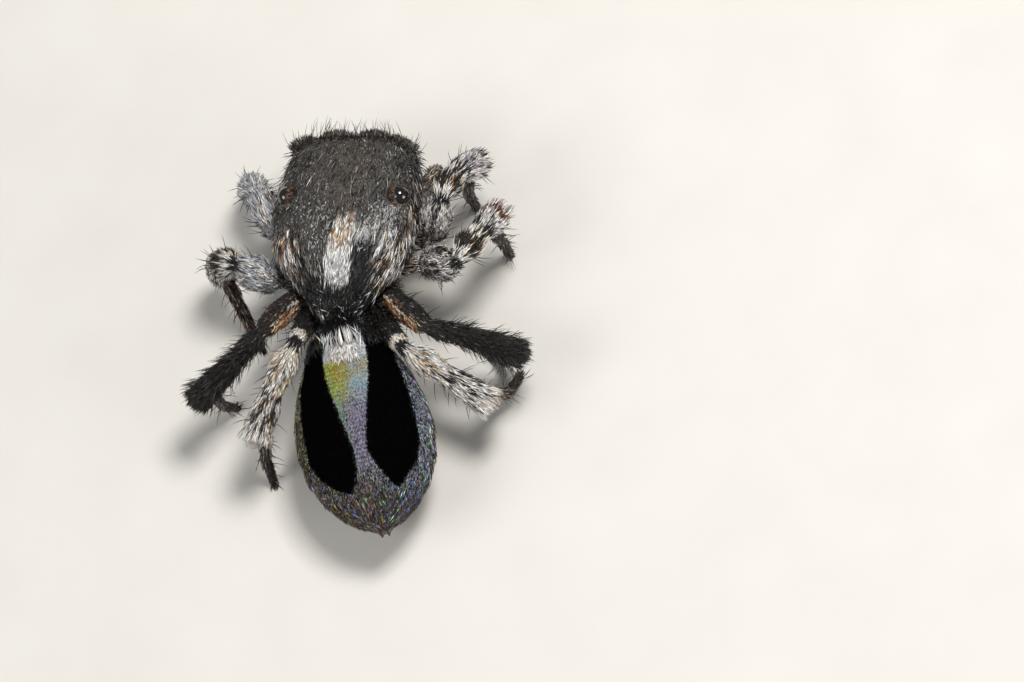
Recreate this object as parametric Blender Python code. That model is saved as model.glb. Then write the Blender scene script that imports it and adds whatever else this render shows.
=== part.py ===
"""A male peacock spider at life size, standing on the floor with its black third legs held out.

Sizes below are in millimetres, in the spider's own frame: x to its right, y forward, z up,
with the floor at z = 0. Each finished mesh is scaled to metres and given a half turn about
the vertical, so that in the finished part the head looks along -Y, and all are then shifted
together until the origin is on the floor under the middle of the bounding box.
"""

import math
import random
from dataclasses import dataclass

import bmesh
import bpy
from mathutils import Matrix, Vector

MM = 0.001
GAP = 0.024
UP = Vector((0.0, 0.0, 1.0))

# Forebody: the carapace, what hangs under it and the coxae tilt together about the waist.
WAIST_HEIGHT = 1.00
FOREBODY_PITCH = math.radians(-10.0)
FOREBODY_ROLL = math.radians(-3.5)
CARAPACE_RIM = -0.02
PLATE_DEPTH = 0.30
STERNUM_FRONT = 1.12
STERNUM_REAR = 0.22
STERNUM_HALF_WIDTH = 0.22

# Eyes: radius, place (right, forward, up in the forebody's frame) and the way each looks.
FRONT_MIDDLE_EYE = 0.20
FRONT_SIDE_EYE = 0.115
REAR_MIDDLE_EYE = 0.035
REAR_SIDE_EYE = 0.120
SOCKET_WALL = 0.035

# Hindbody: the abdomen leans to the spider's right and droops a little towards its tail.
ABDOMEN_LENGTH = 2.42
ABDOMEN_HALF_WIDTH = 0.80
ABDOMEN_TOP = 0.44
ABDOMEN_BOTTOM = 0.62
ABDOMEN_CORNER = 0.82
ABDOMEN_UNDER = 0.88
FLAT_UNDER = 0.45
ABDOMEN_FRONT = Vector((0.05, -0.19, 1.01))
ABDOMEN_YAW = math.radians(17.0)
ABDOMEN_PITCH = math.radians(5.0)
PEDICEL_RADIUS = 0.06

LEG_SIDES = 10
FOOT_SIDES = 8
BODY_SIDES = 28

# Locks of hair: each is flat, tapers to a point and bends over along the lie of the coat.
LOCK_WIDTH = 0.060
LOCK_THICKNESS = 0.024
LOCK_SINK = 0.035
LOCK_SEED = 4

# Radius of each bend along a leg, and half thickness where two nodes of a leg meet.
ROOT_BEND = 0.13
KNEE_BEND = 0.17
SHIN_BEND = 0.30
TOE_BEND = 0.25
ROOT_JOINT = 0.078
KNEE_JOINT = 0.086
FOOT_TOP = 0.085
ANKLE_INSET = 0.13
FOOT_CLEARANCE = 0.075


@dataclass(frozen=True)
class LegSizes:
    """Lengths of one pair of legs, and half thickness along each node as (share, half)."""

    femur: float
    patella: float
    tibia: float
    metatarsus: float
    tarsus: float
    femur_girth: tuple
    shin_girth: tuple
    foot_girth: tuple
    coxa_girth: float
    root: tuple
    socket: tuple


SLIM_FOOT = ((0.0, FOOT_TOP), (0.15, 0.090), (0.5, 0.076), (0.9, 0.062), (1.0, 0.050))
LEG_PAIRS = {
    "1": LegSizes(
        0.67, 0.42, 0.40, 0.57, 0.45,
        ((0.0, ROOT_JOINT), (0.2, 0.150), (0.6, 0.188), (0.85, 0.150), (1.0, KNEE_JOINT)),
        ((0.0, KNEE_JOINT), (0.25, 0.165), (0.5, 0.140), (0.8, 0.172), (0.95, 0.165), (1.0, 0.12)),
        SLIM_FOOT, 0.125, (1.08, 0.90, -0.21), (0.98, 0.36, -0.19),
    ),
    "2": LegSizes(
        0.74, 0.46, 0.42, 0.54, 0.45,
        ((0.0, ROOT_JOINT), (0.2, 0.165), (0.6, 0.208), (0.85, 0.160), (1.0, KNEE_JOINT)),
        ((0.0, KNEE_JOINT), (0.25, 0.170), (0.5, 0.145), (0.8, 0.176), (0.95, 0.170), (1.0, 0.12)),
        SLIM_FOOT, 0.118, (0.76, 0.86, -0.22), (0.73, 0.36, -0.19),
    ),
    "3": LegSizes(
        0.95, 0.42, 0.71, 0.64, 0.42,
        ((0.0, ROOT_JOINT), (0.15, 0.130), (0.6, 0.160), (0.87, 0.140), (1.0, 0.095)),
        ((0.0, 0.095), (0.12, 0.118), (0.4, 0.110), (0.75, 0.132), (0.96, 0.140), (1.0, 0.105)),
        SLIM_FOOT, 0.108, (0.38, 0.50, -0.21), (0.56, 0.27, -0.17),
    ),
    "4": LegSizes(
        0.72, 0.62, 0.57, 0.64, 0.40,
        ((0.0, ROOT_JOINT), (0.2, 0.108), (0.7, 0.118), (1.0, 0.088)),
        ((0.0, 0.088), (0.25, 0.168), (0.5, 0.142), (0.8, 0.172), (0.96, 0.178), (1.0, 0.135)),
        SLIM_FOOT, 0.100, (0.04, 0.43, -0.25), (0.24, 0.27, -0.20),
    ),
}

# Heading from straight ahead (positive to the right) and rise above level, in degrees, for
# femur, patella, tibia and metatarsus; the last number is the heading of the tarsus, whose
# rise follows from the height that is left above the floor.
LEG_POSES = {
    "right_1": ((40, 65), (22, 0), (36, -49), (-135, -62), -128),
    "left_1": ((-31, 45), (-40, -52), (-44, -78), (112, -9), 118),
    "right_2": ((112, 47), (34, 0), (21, -35), (-158, -75), -158),
    "left_2": ((-97, 63), (-66, -39), (-62, -84), (150, -28), 150),
    "right_3": ((132, 28), (95, -20), (101, -20), (-70, -60), -60),
    "left_3": ((-160, 37), (-128, -30), (-140, -4), (40, -70), 30),
    "right_4": ((142, 38), (118, -20), (116, -18), (10, -60), 10),
    "left_4": ((176, 52), (-157, -13), (-161, -15), (-161, -84), 170),
}

# Rows of locks on a leg's nodes, by node and pair: share along the node, how many round it,
# length, and the angle off the surface at the root and at the tip.
LEG_LOCKS = {
    "femur_3": ((0.45, 4, 0.16, 38, 8), (0.68, 4, 0.18, 38, 8)),
    "shin_3": (
        (0.20, 4, 0.15, 40, 12),
        (0.36, 5, 0.17, 42, 14),
        (0.52, 6, 0.19, 44, 16),
        (0.67, 6, 0.21, 46, 18),
        (0.81, 7, 0.22, 48, 18),
        (0.94, 7, 0.20, 44, 8),
    ),
    "shin_4": ((0.42, 5, 0.13, 36, 10), (0.93, 6, 0.14, 34, 4)),
    "shin_1": ((0.93, 5, 0.12, 36, 6),),
    "shin_2": ((0.93, 5, 0.12, 36, 6),),
}

# Rows of locks on the body: place along it, first and last angle from its right side over the
# top, count, length, angles off the surface at the root and the tip, and which way they lie.
CARAPACE_LOCKS = (
    (0.80, 84, 100, 3, 0.22, 34, 8, -1),
    (0.60, 82, 102, 4, 0.24, 32, 6, -1),
    (0.40, 80, 104, 4, 0.24, 30, 4, -1),
    (0.24, 78, 106, 4, 0.20, 24, 6, -1),
    (1.05, 2, 32, 4, 0.20, 26, 4, -1),
    (1.05, 148, 178, 4, 0.20, 26, 4, -1),
    (0.80, 2, 34, 4, 0.20, 26, 4, -1),
    (0.80, 146, 178, 4, 0.20, 26, 4, -1),
    (0.56, 4, 40, 4, 0.19, 26, 4, -1),
    (0.56, 140, 176, 4, 0.19, 26, 4, -1),
    (1.35, 2, 28, 3, 0.18, 24, 4, -1),
    (1.35, 152, 178, 3, 0.18, 24, 4, -1),
)
ABDOMEN_LOCKS = (
    (0.16, 66, 116, 6, 0.22, 52, 18, -1),
    (0.28, 70, 112, 5, 0.20, 44, 12, -1),
    (2.26, 10, 170, 9, 0.15, 26, 6, 1),
)

# How far the coxa of one leg alone is swung: forward, out and up at its end.
COXA_SWING = {
    "right_3": (-0.01, -0.04, 0.01),
    "right_4": (-0.01, 0.03, -0.02),
    "left_2": (-0.22, 0.0, -0.04),
    "left_3": (0.03, 0.05, 0.0),
}


def clear_scene():
    """Remove whatever the starting scene holds."""
    for thing in list(bpy.data.objects):
        bpy.data.objects.remove(thing, do_unlink=True)


def material(name, colour, roughness, metallic=0.0):
    """Make one Principled material with a plain colour."""
    finish = bpy.data.materials.new(name)
    finish.use_nodes = True
    shader = finish.node_tree.nodes["Principled BSDF"]
    shader.inputs["Base Color"].default_value = (*colour, 1.0)
    shader.inputs["Roughness"].default_value = roughness
    shader.inputs["Metallic"].default_value = metallic
    return finish


def forebody_frame():
    """Place and tilt of the forebody: its origin is the waist under the carapace's rear rim."""
    tilt = Matrix.Rotation(FOREBODY_PITCH, 4, "X") @ Matrix.Rotation(FOREBODY_ROLL, 4, "Y")
    return Matrix.Translation((0.0, 0.0, WAIST_HEIGHT)) @ tilt


def hindbody_frame():
    """Place and tilt of the abdomen: y runs back from its front end to its tail."""
    turn = Matrix.Rotation(ABDOMEN_YAW + math.pi, 4, "Z") @ Matrix.Rotation(-ABDOMEN_PITCH, 4, "X")
    return Matrix.Translation(ABDOMEN_FRONT) @ turn


def between(table, share):
    """Read a table of (share, value) pairs at a share, with a smooth step between its rows."""
    last = table[0]
    for row in table:
        if share <= row[0]:
            span = row[0] - last[0]
            if span == 0.0:
                return row[1]
            part = (share - last[0]) / span
            part = part * part * (3.0 - 2.0 * part)
            return last[1] + (row[1] - last[1]) * part
        last = row
    return last[1]


def heading_vector(heading, rise):
    """Unit vector for a heading and a rise in degrees."""
    turn = math.radians(heading)
    lift = math.radians(rise)
    return Vector((
        math.sin(turn) * math.cos(lift),
        math.cos(turn) * math.cos(lift),
        math.sin(lift),
    ))


def skin(rings):
    """Closed mesh over a row of rings of equal count, with a fan at each end."""
    mesh = bmesh.new()
    rows = [[mesh.verts.new(point) for point in ring] for ring in rings]
    count = len(rows[0])
    for first, second in zip(rows, rows[1:]):
        for index in range(count):
            after = (index + 1) % count
            mesh.faces.new((first[index], first[after], second[after], second[index]))
    for row in (rows[0], rows[-1]):
        middle = mesh.verts.new(sum((vert.co for vert in row), Vector()) / count)
        for index in range(count):
            mesh.faces.new((row[index], row[(index + 1) % count], middle))
    bmesh.ops.recalc_face_normals(mesh, faces=mesh.faces)
    bmesh.ops.triangulate(mesh, faces=mesh.faces)
    return mesh


def to_object(name, mesh):
    """Turn a working mesh into an object that is linked to the scene."""
    data = bpy.data.meshes.new(name)
    mesh.to_mesh(data)
    mesh.free()
    made = bpy.data.objects.new(name, data)
    bpy.context.scene.collection.objects.link(made)
    return made


def combine(base, pieces, operation):
    """Apply one Boolean of a whole collection of closed pieces to the base object."""
    group = bpy.data.collections.new("pieces")
    bpy.context.scene.collection.children.link(group)
    for piece in pieces:
        bpy.context.scene.collection.objects.unlink(piece)
        group.objects.link(piece)
    step = base.modifiers.new("combine", "BOOLEAN")
    step.operand_type = "COLLECTION"
    step.collection = group
    step.operation = operation
    step.solver = "EXACT"
    graph = bpy.context.evaluated_depsgraph_get()
    result = bpy.data.meshes.new_from_object(base.evaluated_get(graph))
    base.modifiers.remove(step)
    base.data = result
    for piece in list(group.objects):
        bpy.data.objects.remove(piece, do_unlink=True)
    bpy.data.collections.remove(group)
    keep_largest(base)


def keep_largest(made):
    """Delete every closed surface of an object but its largest one."""
    mesh = bmesh.new()
    mesh.from_mesh(made.data)
    unseen = set(mesh.faces)
    islands = []
    while unseen:
        stack = [unseen.pop()]
        island = list(stack)
        while stack:
            for edge in stack.pop().edges:
                for face in edge.link_faces:
                    if face in unseen:
                        unseen.remove(face)
                        stack.append(face)
                        island.append(face)
        islands.append(island)
    islands.sort(key=lambda island: sum(face.calc_area() for face in island))
    for island in islands[:-1]:
        bmesh.ops.delete(mesh, geom=island, context="FACES")
    mesh.to_mesh(made.data)
    mesh.free()


def finish(made, finish_material):
    """Scale a part to metres, face it along -Y, shade it smooth and give it its material."""
    made.data.transform(Matrix.Rotation(math.pi, 4, "Z") @ Matrix.Scale(MM, 4))
    made.data.materials.clear()
    made.data.materials.append(finish_material)
    made.data.shade_smooth()
    made.data.set_sharp_from_angle(angle=math.radians(50.0))


def centre_on_origin():
    """Shift every mesh so that the origin is on the floor under the bounding box's middle."""
    things = list(bpy.data.objects)
    points = [vert.co for thing in things for vert in thing.data.vertices]
    middle_x = 0.5 * (min(point.x for point in points) + max(point.x for point in points))
    middle_y = 0.5 * (min(point.y for point in points) + max(point.y for point in points))
    for thing in things:
        thing.data.transform(Matrix.Translation((-middle_x, -middle_y, 0.0)))


def squared_ring(frame, forward, half_width, top, bottom, corner, under=FLAT_UNDER, count=BODY_SIDES):
    """Rounded cross-section across the body in a frame's own axes.

    The corner powers of its upper and lower half run from 0, a box, to 1, an ellipse.
    """
    middle = 0.5 * (top + bottom)
    half_height = 0.5 * (top - bottom)
    points = []
    for index in range(count):
        angle = math.tau * (index + 0.5) / count
        across = math.cos(angle)
        rise = math.sin(angle)
        power = corner if rise > 0.0 else under
        x = half_width * math.copysign(abs(across) ** power, across)
        z = middle + half_height * math.copysign(abs(rise) ** power, rise)
        points.append(frame @ Vector((x, forward, z)))
    return points


def ball(centre, radius, sides, rings, look=UP):
    """Closed sphere whose poles lie along the way it looks."""
    turn = UP.rotation_difference(look.normalized()).to_matrix().to_4x4()
    mesh = bmesh.new()
    bmesh.ops.create_uvsphere(
        mesh, u_segments=sides, v_segments=rings, radius=radius,
        matrix=Matrix.Translation(centre) @ turn,
    )
    bmesh.ops.triangulate(mesh, faces=mesh.faces)
    return mesh


def barrel(start, end, start_radius, end_radius, sides):
    """Closed tapered cylinder from one point to another."""
    axis = (end - start).normalized()
    side = axis.orthogonal().normalized()
    other = axis.cross(side)
    rings = []
    for centre, radius in ((start, start_radius), (end, end_radius)):
        ring = []
        for index in range(sides):
            angle = math.tau * index / sides
            ring.append(centre + radius * (side * math.cos(angle) + other * math.sin(angle)))
        rings.append(ring)
    return skin(rings)


def rounded_path(points, bends, straight_steps=3, bend_steps=4):
    """Follow a line of points with its corners rounded.

    Returns a list of (place, direction, share), where the share counts the points passed.
    """
    cuts = [0.0] * len(points)
    for index in range(1, len(points) - 1):
        into = (points[index] - points[index - 1]).normalized()
        out = (points[index + 1] - points[index]).normalized()
        half_turn = 0.5 * into.angle(out)
        shortest = min(
            (points[index] - points[index - 1]).length,
            (points[index + 1] - points[index]).length,
        )
        cuts[index] = min(bends[index] * math.tan(half_turn), 0.46 * shortest)
    path = []
    for index in range(len(points) - 1):
        run = points[index + 1] - points[index]
        length = run.length
        ahead = run / length
        for step in range(straight_steps + 1):
            along = cuts[index] + (length - cuts[index] - cuts[index + 1]) * step / straight_steps
            path.append((points[index] + ahead * along, ahead.copy(), index + along / length))
        if index + 2 < len(points):
            out = (points[index + 2] - points[index + 1]).normalized()
            corner = points[index + 1]
            cut = cuts[index + 1]
            reach = cut / length
            for step in range(1, bend_steps):
                part = step / bend_steps
                first = corner - ahead * cut
                last = corner + out * cut
                place = first * (1 - part) ** 2 + corner * 2 * part * (1 - part) + last * part**2
                direction = (ahead * (1 - part) + out * part).normalized()
                path.append((place, direction, index + 1 + reach * (2.0 * part - 1.0)))
    return path


def tube_frames(path, first_side):
    """Share of the length, place, direction and side at every row of a path."""
    lengths = [0.0]
    for before, after in zip(path, path[1:]):
        lengths.append(lengths[-1] + (after[0] - before[0]).length)
    frames = []
    side = first_side
    for (place, direction, _), length in zip(path, lengths):
        side = (side - direction * side.dot(direction)).normalized()
        frames.append((length / lengths[-1], place, direction, side))
    return frames


def tube_rings(path, girth, sides, first_side):
    """Rings round a path whose half thickness is read from a table along its length."""
    rings = []
    for share, place, direction, side in tube_frames(path, first_side):
        other = direction.cross(side)
        half = between(girth, share)
        ring = []
        for corner in range(sides):
            angle = math.tau * (corner + 0.5) / sides
            ring.append(place + half * (side * math.cos(angle) + other * math.sin(angle)))
        rings.append(ring)
    return rings


def tube_surface(path, girth, first_side, share, angle):
    """Point on a tube's surface, its outward normal and the way along the tube there."""
    frames = tube_frames(path, first_side)
    after = next(index for index, row in enumerate(frames) if row[0] >= share or row is frames[-1])
    before = max(after - 1, 0)
    span = frames[after][0] - frames[before][0]
    part = (share - frames[before][0]) / span if span > 0.0 else 0.0
    place = frames[before][1].lerp(frames[after][1], part)
    direction = frames[before][2].lerp(frames[after][2], part).normalized()
    side = frames[before][3].lerp(frames[after][3], part)
    side = (side - direction * side.dot(direction)).normalized()
    normal = side * math.cos(angle) + direction.cross(side) * math.sin(angle)
    return place + normal * between(girth, share), normal, direction


def lock(root, normal, along, length, stand, droop, width=LOCK_WIDTH):
    """One closed lock that leaves its root at an angle and bends over along the coat's lie.

    The stand and the droop are the angles in degrees between the lock and the surface at its
    root and at its tip.
    """
    along = (along - normal * along.dot(normal)).normalized()
    side = along.cross(normal)
    shares = (0.0, 0.36, 0.72)
    widths = (0.90, 1.0, 0.62)
    place = root - normal * LOCK_SINK
    rings = []
    last = 0.0
    for share, spread in zip(shares, widths):
        angle = math.radians(stand + (droop - stand) * share)
        way = along * math.cos(angle) + normal * math.sin(angle)
        place = place + way * (length + LOCK_SINK) * (share - last)
        last = share
        up = side.cross(way).normalized()
        half_width = 0.5 * width * spread
        half_thickness = 0.5 * LOCK_THICKNESS * spread
        rings.append([
            place + side * half_width, place + up * half_thickness,
            place - side * half_width, place - up * half_thickness,
        ])
    angle = math.radians(droop)
    tip = place + (along * math.cos(angle) + normal * math.sin(angle)) * length * (1.0 - last)
    mesh = bmesh.new()
    rows = [[mesh.verts.new(point) for point in ring] for ring in rings]
    for first, second in zip(rows, rows[1:]):
        for index in range(4):
            after = (index + 1) % 4
            mesh.faces.new((first[index], first[after], second[after], second[index]))
    point = mesh.verts.new(tip)
    for index in range(4):
        mesh.faces.new((rows[-1][index], rows[-1][(index + 1) % 4], point))
    mesh.faces.new(rows[0])
    bmesh.ops.recalc_face_normals(mesh, faces=mesh.faces)
    bmesh.ops.triangulate(mesh, faces=mesh.faces)
    return to_object("lock", mesh)


def cut_path(path, start, end):
    """The part of a path between two shares, drawn back by half a gap at each end."""
    kept = [row for row in path if start - 1e-6 <= row[2] <= end + 1e-6]
    first = kept[0]
    last = kept[-1]
    kept[0] = (first[0] + first[1] * GAP * 0.5, first[1], first[2])
    kept[-1] = (last[0] - last[1] * GAP * 0.5, last[1], last[2])
    return kept


class Leg:
    """One walking leg from its coxa to its toe."""

    def __init__(self, name, forebody):
        side_name, pair = name.split("_")
        self.name = name
        self.sizes = LEG_PAIRS[pair]
        self.side = 1.0 if side_name == "right" else -1.0
        swing = Vector(COXA_SWING.get(name, (0.0, 0.0, 0.0)))
        forward, out, lift = Vector(self.sizes.root) + swing
        self.root = forebody @ Vector((self.side * out, forward, lift))
        forward, out, lift = self.sizes.socket
        self.socket = forebody @ Vector((self.side * out, forward, lift))
        self.points = self.joints()

    def joints(self):
        """Root, knee, shin joint, ankle, toe joint and toe tip."""
        sizes = self.sizes
        lengths = (sizes.femur, sizes.patella, sizes.tibia, sizes.metatarsus)
        pose = LEG_POSES[self.name]
        places = [self.root]
        for length, (heading, rise) in zip(lengths, pose):
            places.append(places[-1] + length * heading_vector(heading, rise))
        height = places[-1].z
        rise = -math.degrees(math.asin(min(1.0, height / sizes.tarsus)))
        toe = places[-1] + sizes.tarsus * heading_vector(pose[4], rise)
        toe.z = 0.0
        places.append(toe)
        return places

    def upper_path(self):
        """Rounded line from the coxa's socket to the blunt end of the shin."""
        line = [self.socket] + self.points[:4]
        return rounded_path(line, (0.0, ROOT_BEND, KNEE_BEND, SHIN_BEND, 0.0))

    def foot_path(self):
        """Rounded line of the foot, which starts under the shin a little way from its end."""
        _, _, shin_joint, ankle, toe_joint, toe = self.points
        shin_way = (ankle - shin_joint).normalized()
        foot_way = (toe_joint - ankle).normalized()
        turn = shin_way.angle(foot_way)
        shin_half = between(self.sizes.shin_girth, 0.9)
        drop = (shin_half + GAP + FOOT_TOP * abs(math.cos(turn))) / math.sin(turn)
        top = ankle - shin_way * ANKLE_INSET + foot_way * drop
        return rounded_path([top, toe_joint, toe], (0.0, TOE_BEND, 0.0))

    def build(self):
        """Make the leg's four nodes and return them by name."""
        upper = self.upper_path()
        sizes = self.sizes
        coxa = ((0.0, 0.62 * sizes.coxa_girth), (0.5, sizes.coxa_girth), (1.0, ROOT_JOINT))
        plan = (
            ("coxa", cut_path(upper, 0, 1), coxa, LEG_SIDES),
            ("femur", cut_path(upper, 1, 2), sizes.femur_girth, LEG_SIDES),
            ("shin", cut_path(upper, 2, 4), sizes.shin_girth, LEG_SIDES),
            ("foot", self.foot_path(), sizes.foot_girth, FOOT_SIDES),
        )
        made = {}
        for part, piece, girth, sides in plan:
            level = piece[0][1].cross(UP).normalized()
            rings = tube_rings(piece, girth, sides, level)
            if part == "foot":
                rings[-1] = self.flat_on_floor(rings[-1], piece[-1])
            node = to_object(f"{part}_{self.name}", skin(rings))
            locks = self.locks(part, piece, girth, level)
            if locks:
                combine(node, locks, "UNION")
            made[node.name] = node
        return made

    def locks(self, part, piece, girth, level):
        """The locks of hair that show from a step away on one node of the leg."""
        rows = LEG_LOCKS.get(f"{part}_{self.name.split('_')[1]}", ())
        draw = random.Random(f"{LOCK_SEED} {part} {self.name}")
        made = []
        for share, count, length, stand, droop in rows:
            turn = draw.random()
            for index in range(count):
                angle = math.tau * (index + turn + draw.uniform(-0.15, 0.15)) / count
                place = min(share + draw.uniform(-0.02, 0.02), 0.985)
                root, normal, along = tube_surface(piece, girth, level, place, angle)
                real = length * draw.uniform(0.85, 1.15)
                lean = draw.uniform(-5.0, 5.0)
                if self.meets_foot(root, root + (along + 0.6 * normal).normalized() * real):
                    continue
                made.append(lock(root, normal, along, real, stand + lean, droop + lean))
        return made

    def meets_foot(self, root, tip):
        """Whether a lock between two points would touch the foot, which starts under the shin."""
        top, _, _ = self.foot_path()[0]
        toe_joint = self.points[4]
        run = toe_joint - top
        for part in (0.0, 0.35, 0.7, 1.0):
            point = root.lerp(tip, part)
            along = min(max((point - top).dot(run) / run.length_squared, 0.0), 1.0)
            if (point - top - run * along).length < FOOT_TOP + FOOT_CLEARANCE:
                return True
        return False

    def flat_on_floor(self, ring, end):
        """Slide the toe's last ring along the toe until all of it lies on the floor."""
        _, direction, _ = end
        return [point - direction * (point.z / direction.z) for point in ring]


# Cross-sections of the carapace from its rear rim: forward, half width, top, corner power.
CARAPACE_SECTIONS = (
    (0.00, 0.26, 0.10, 0.80),
    (0.07, 0.32, 0.16, 0.76),
    (0.20, 0.43, 0.26, 0.74),
    (0.36, 0.56, 0.37, 0.72),
    (0.54, 0.70, 0.46, 0.70),
    (0.72, 0.78, 0.52, 0.68),
    (0.92, 0.80, 0.56, 0.66),
    (1.15, 0.82, 0.60, 0.60),
    (1.40, 0.80, 0.61, 0.55),
    (1.65, 0.77, 0.59, 0.50),
    (1.86, 0.74, 0.56, 0.48),
    (1.98, 0.68, 0.51, 0.48),
    (2.06, 0.58, 0.45, 0.52),
)

# Cross-sections of the abdomen from its front end: share of the length, then half width, top
# and bottom as shares of the largest ones.
ABDOMEN_SECTIONS = (
    (0.000, 0.15, 0.20, 0.20),
    (0.020, 0.28, 0.42, 0.38),
    (0.070, 0.45, 0.66, 0.58),
    (0.160, 0.65, 0.84, 0.78),
    (0.280, 0.83, 0.94, 0.92),
    (0.420, 0.96, 1.00, 1.00),
    (0.560, 1.00, 1.00, 1.00),
    (0.700, 0.94, 0.94, 0.94),
    (0.810, 0.80, 0.82, 0.82),
    (0.900, 0.60, 0.64, 0.66),
    (0.960, 0.40, 0.44, 0.48),
    (1.000, 0.18, 0.22, 0.26),
)


def lofted_point(sections, along, angle):
    """Point of a lofted body at a distance along its sections and an angle round them.

    Each section is (along, half width, top, bottom, upper and lower corner power); the angle is
    measured from the right over the top.
    """
    after = next(index for index, row in enumerate(sections) if row[0] >= along)
    before = max(after - 1, 0)
    span = sections[after][0] - sections[before][0]
    part = (along - sections[before][0]) / span if span > 0.0 else 0.0
    row = [a + (b - a) * part for a, b in zip(sections[before], sections[after])]
    _, half_width, top, bottom, corner, under = row
    across = math.cos(angle)
    rise = math.sin(angle)
    power = corner if rise > 0.0 else under
    middle = 0.5 * (top + bottom)
    half_height = 0.5 * (top - bottom)
    return Vector((
        half_width * math.copysign(abs(across) ** power, across),
        along,
        middle + half_height * math.copysign(abs(rise) ** power, rise),
    ))


def lofted_surface(sections, along, angle):
    """Point, outward normal and the way towards growing sections on a lofted body."""
    step = 0.01
    low = max(along - step, sections[0][0])
    high = min(along + step, sections[-1][0])
    ahead = lofted_point(sections, high, angle) - lofted_point(sections, low, angle)
    over = lofted_point(sections, along, angle + step) - lofted_point(sections, along, angle - step)
    normal = ahead.cross(over).normalized()
    place = lofted_point(sections, along, angle)
    if normal.dot(place - Vector((0.0, along, 0.0))) < 0.0:
        normal = -normal
    return place, normal, ahead.normalized()


def body_locks(frame, sections, rows, name):
    """Locks in rows over a lofted body.

    Each row is (along, first angle, last angle, count, length, stand, droop, way), with the
    angles in degrees from the right over the top and the way 1 towards growing sections or -1
    towards the first one.
    """
    draw = random.Random(f"{LOCK_SEED} {name}")
    turn = frame.to_3x3()
    made = []
    for along, first, last, count, length, stand, droop, way in rows:
        for index in range(count):
            share = (index + 0.5 + draw.uniform(-0.2, 0.2)) / count
            angle = math.radians(first + (last - first) * share)
            place = min(max(along + draw.uniform(-0.025, 0.025), sections[0][0]), sections[-1][0])
            root, normal, ahead = lofted_surface(sections, place, angle)
            lean = draw.uniform(-4.0, 4.0)
            made.append(lock(
                frame @ root, turn @ normal, turn @ ahead * way,
                length * draw.uniform(0.85, 1.15), stand + lean, droop + lean,
            ))
    return made


def build_carapace(frame):
    """The carapace with a raised socket round each eye and a pocket that the eye sits in."""
    rings = [
        squared_ring(frame, forward, half_width, top, CARAPACE_RIM, corner)
        for forward, half_width, top, corner in CARAPACE_SECTIONS
    ]
    body = to_object("carapace", skin(rings))
    sockets = []
    pockets = []
    for name, radius, place, look in eye_plan():
        centre = frame @ place
        ahead = (frame.to_3x3() @ look).normalized()
        back = centre - ahead * radius * 1.6
        front = centre + ahead * radius * 0.50
        sockets.append(to_object("socket", barrel(
            back, front, radius + 1.4 * SOCKET_WALL, radius + SOCKET_WALL, 14,
        )))
        pockets.append(to_object("pocket", ball(centre, radius + GAP, 14, 8, ahead)))
    sections = [
        (forward, half_width, top, CARAPACE_RIM, corner, FLAT_UNDER)
        for forward, half_width, top, corner in CARAPACE_SECTIONS
    ]
    locks = body_locks(frame, sections, CARAPACE_LOCKS, "carapace")
    combine(body, sockets + locks, "UNION")
    combine(body, pockets, "DIFFERENCE")
    return body


def eye_plan():
    """Name, radius, centre and look of all eight eyes, in the forebody's frame."""
    rows = (
        ("front_middle", FRONT_MIDDLE_EYE, (0.225, 2.02, 0.275), (0.06, 1.0, 0.0)),
        ("front_side", FRONT_SIDE_EYE, (0.60, 1.93, 0.40), (0.45, 0.9, 0.15)),
        ("rear_middle", REAR_MIDDLE_EYE, (0.725, 1.58, 0.45), (1.0, 0.1, 0.5)),
        ("rear_side", REAR_SIDE_EYE, (0.665, 1.24, 0.495), (1.0, -0.05, 0.45)),
    )
    plan = []
    for name, radius, (out, forward, lift), look in rows:
        for side_name, side in (("right", 1.0), ("left", -1.0)):
            plan.append((
                f"eye_{name}_{side_name}",
                radius,
                Vector((side * out, forward, lift)),
                Vector((side * look[0], look[1], look[2])),
            ))
    return plan


def build_eyes(frame):
    """Eight eyes, each a ball that stands free in its pocket."""
    made = {}
    for name, radius, place, look in eye_plan():
        sides, rings = (14, 8) if radius >= FRONT_MIDDLE_EYE else (10, 6)
        ahead = frame.to_3x3() @ look
        made[name] = to_object(name, ball(frame @ place, radius, sides, rings, ahead))
    return made


def plate_ring(frame, height, front, rear, half_width, count=16):
    """Level outline of the sternum in the forebody's frame."""
    middle = 0.5 * (front + rear)
    half_length = 0.5 * (front - rear)
    points = []
    for index in range(count):
        angle = math.tau * index / count
        narrowing = 1.0 - 0.18 * math.sin(angle)
        x = half_width * narrowing * math.cos(angle)
        points.append(frame @ Vector((x, middle + half_length * math.sin(angle), height)))
    return points


def build_sternum(frame):
    """Shield-shaped plate under the carapace, between the coxae."""
    top = CARAPACE_RIM - GAP
    rows = ((0.0, 0.94), (0.3, 1.0), (0.75, 0.92), (1.0, 0.66))
    rings = []
    for share, spread in rows:
        shrink = (1.0 - spread) * 0.5 * (STERNUM_FRONT - STERNUM_REAR)
        rings.append(plate_ring(
            frame, top - share * PLATE_DEPTH, STERNUM_FRONT - shrink,
            STERNUM_REAR + shrink, spread * STERNUM_HALF_WIDTH,
        ))
    return to_object("sternum", skin(rings))


def build_mouth(frame):
    """Lower lip and the two inner palp plates as one block in front of the sternum."""
    top = CARAPACE_RIM - GAP
    rows = ((1.16, 0.20, 0.20), (1.26, 0.30, 0.26), (1.42, 0.32, 0.30), (1.54, 0.24, 0.26))
    rings = [
        squared_ring(frame, forward, half_width, top, top - depth, 0.6, FLAT_UNDER, 16)
        for forward, half_width, depth in rows
    ]
    return to_object("mouth_plates", skin(rings))


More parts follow.
